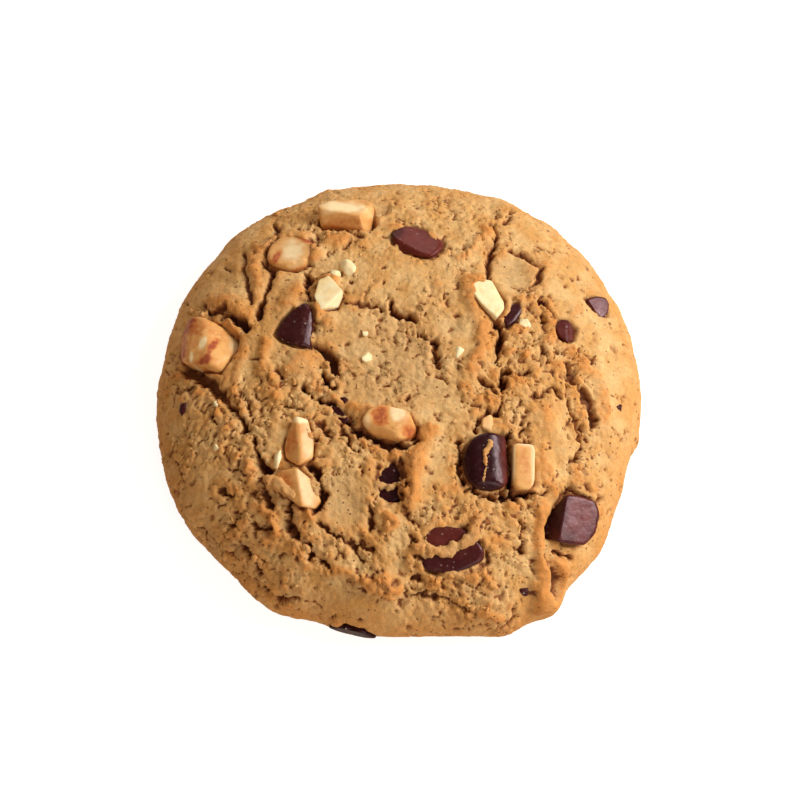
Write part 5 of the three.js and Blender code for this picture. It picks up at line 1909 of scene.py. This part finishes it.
@dataclass(frozen=True)
class Studio:
    """A plain pale floor, soft light that is strongest from the right, and the camera of the photograph.

    The camera's elevation is in degrees, its distance and its aim in metres, and its lens and the floor in
    millimetres. aim_pixel is where the aim shows in a square picture of that many pixels a side. The fills
    are the strength of the light from all round: on the cookie, in its reflections, and off the floor.
    """

    camera_up: float = 66
    camera_away: float = 0.5
    aim: tuple[float, float, float] = (0, 0, 0.008)
    lens: float = 120.96
    picture: int = 800
    aim_pixel: Place = (398.5, 393.5)
    floor_half: float = 900
    floor_low: float = -0.02
    paper: tuple[float, float, float, float] = (0.5, 0.48, 0.44, 1)
    fill: float = 0.31
    mirrored_fill: float = 0.12
    floor_fill: float = 0.34
    floor_seen: float = 0.85
    glow: Colour = (1, 0.77, 0.54)
    lamps: tuple[Lamp, ...] = (
        Lamp("key", (0.54, 0.14, 0.42), 0.34, 5.0),
        Lamp("front", (0.3, -0.55, 0.36), 0.4, 1.35),
        Lamp("back", (-0.06, 0.6, 0.42), 0.4, 0.85),
    )

    def build(self) -> None:
        """Makes the floor, the lights, the world and the camera."""
        bpy.context.scene.view_settings.view_transform = "Standard"
        self.lay_floor()
        self.light_world()
        for lamp in self.lamps:
            lamp.hang()
        self.set_camera()

    def lay_floor(self) -> None:
        """Makes the floor: near white to the camera, and a warm glow to the cookie."""
        corners = [(-1, -1), (1, -1), (1, 1), (-1, 1)]
        points = np.array([(self.floor_half * x, self.floor_half * y, self.floor_low) for x, y in corners])
        floor = make_piece("floor", points, [(0, 1, 2, 3)])
        paper = bpy.data.materials.new("white_paper")
        paper.use_nodes = True
        w = Wiring(paper.node_tree)
        seen = w.node("ShaderNodeLightPath").outputs["Is Camera Ray"]
        sheet = w.node("ShaderNodeBsdfPrincipled", {
            "Base Color": self.paper, "Roughness": 0.9,
            "Emission Color": w.blend(seen, self.glow, (1, 1, 1)),
            "Emission Strength": w.ramp(seen, 0, 1, self.floor_fill, self.floor_seen),
        })
        w.node("ShaderNodeOutputMaterial", {0: sheet.outputs[0]})
        floor.data.materials.append(paper)

    def light_world(self) -> None:
        """Makes the world: white to the camera, a warm glow to the cookie and a dimmer one in reflections."""
        world = bpy.data.worlds.new("studio")
        world.use_nodes = True
        w = Wiring(world.node_tree)
        ray = w.node("ShaderNodeLightPath")
        seen = w.product(ray.outputs["Is Camera Ray"], 1 - self.fill)
        mirrored = w.product(ray.outputs["Is Glossy Ray"], self.fill - self.mirrored_fill)
        strength = w.math("SUBTRACT", w.math("ADD", seen, self.fill), mirrored)
        sky = w.node("ShaderNodeBackground", {
            "Color": w.blend(ray.outputs["Is Camera Ray"], self.glow, (1, 1, 1)), "Strength": strength})
        w.node("ShaderNodeOutputWorld", {0: sky.outputs[0]})
        bpy.context.scene.world = world

    def set_camera(self) -> None:
        """Makes the camera, with a shift that brings the aim to its pixel."""
        up = math.radians(self.camera_up)
        view = Vector((0, -math.cos(up), math.sin(up)))
        camera = bpy.data.objects.new("camera", bpy.data.cameras.new("camera"))
        camera.location = Vector(self.aim) + view * self.camera_away
        camera.rotation_euler = (-view).to_track_quat("-Z", "Y").to_euler()
        camera.data.lens = self.lens
        camera.data.shift_x = (self.picture / 2 - self.aim_pixel[0]) / self.picture
        camera.data.shift_y = (self.aim_pixel[1] - self.picture / 2) / self.picture
        camera.data.clip_start = 0.01
        bpy.context.scene.collection.objects.link(camera)
        bpy.context.scene.camera = camera


def register(piece: Piece, node: str) -> None:
    """Hands a finished piece over and reports it.

    Args:
        piece: the piece.
        node: the solid it stands for.
    """
    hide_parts(node)
    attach(piece, BODY)
    log.info("%s: %d triangles", piece.name, len(piece.data.polygons))


def main() -> None:
    """Builds the dressed cookie and its studio."""
    logging.basicConfig(level=logging.INFO, format="%(message)s")
    body = Body()
    finishes = Finishes()
    dough = Dough(body).build(finishes.dough)
    register(dough, "dough")
    for crumbs in (Crumbs("cookie_nuggets", 0.22, 0.6, 1.8, 2, SEED),
                   Crumbs("cookie_crumbs", 1.4, 0.3, 0.75, 1, SEED + 1)):
        register(crumbs.build(dough, finishes.dough), "dough")
    maker = MorselMaker(body)
    for number, morsel in enumerate(MORSELS):
        piece = maker.build(morsel, finishes.morsels[morsel.kind], number)
        register(piece, morsel.name)
    for kind in Kind:
        register(maker.build_bits(kind, finishes.morsels[kind]), "dough")
    Studio().build()


if __name__ == "__main__":
    main()
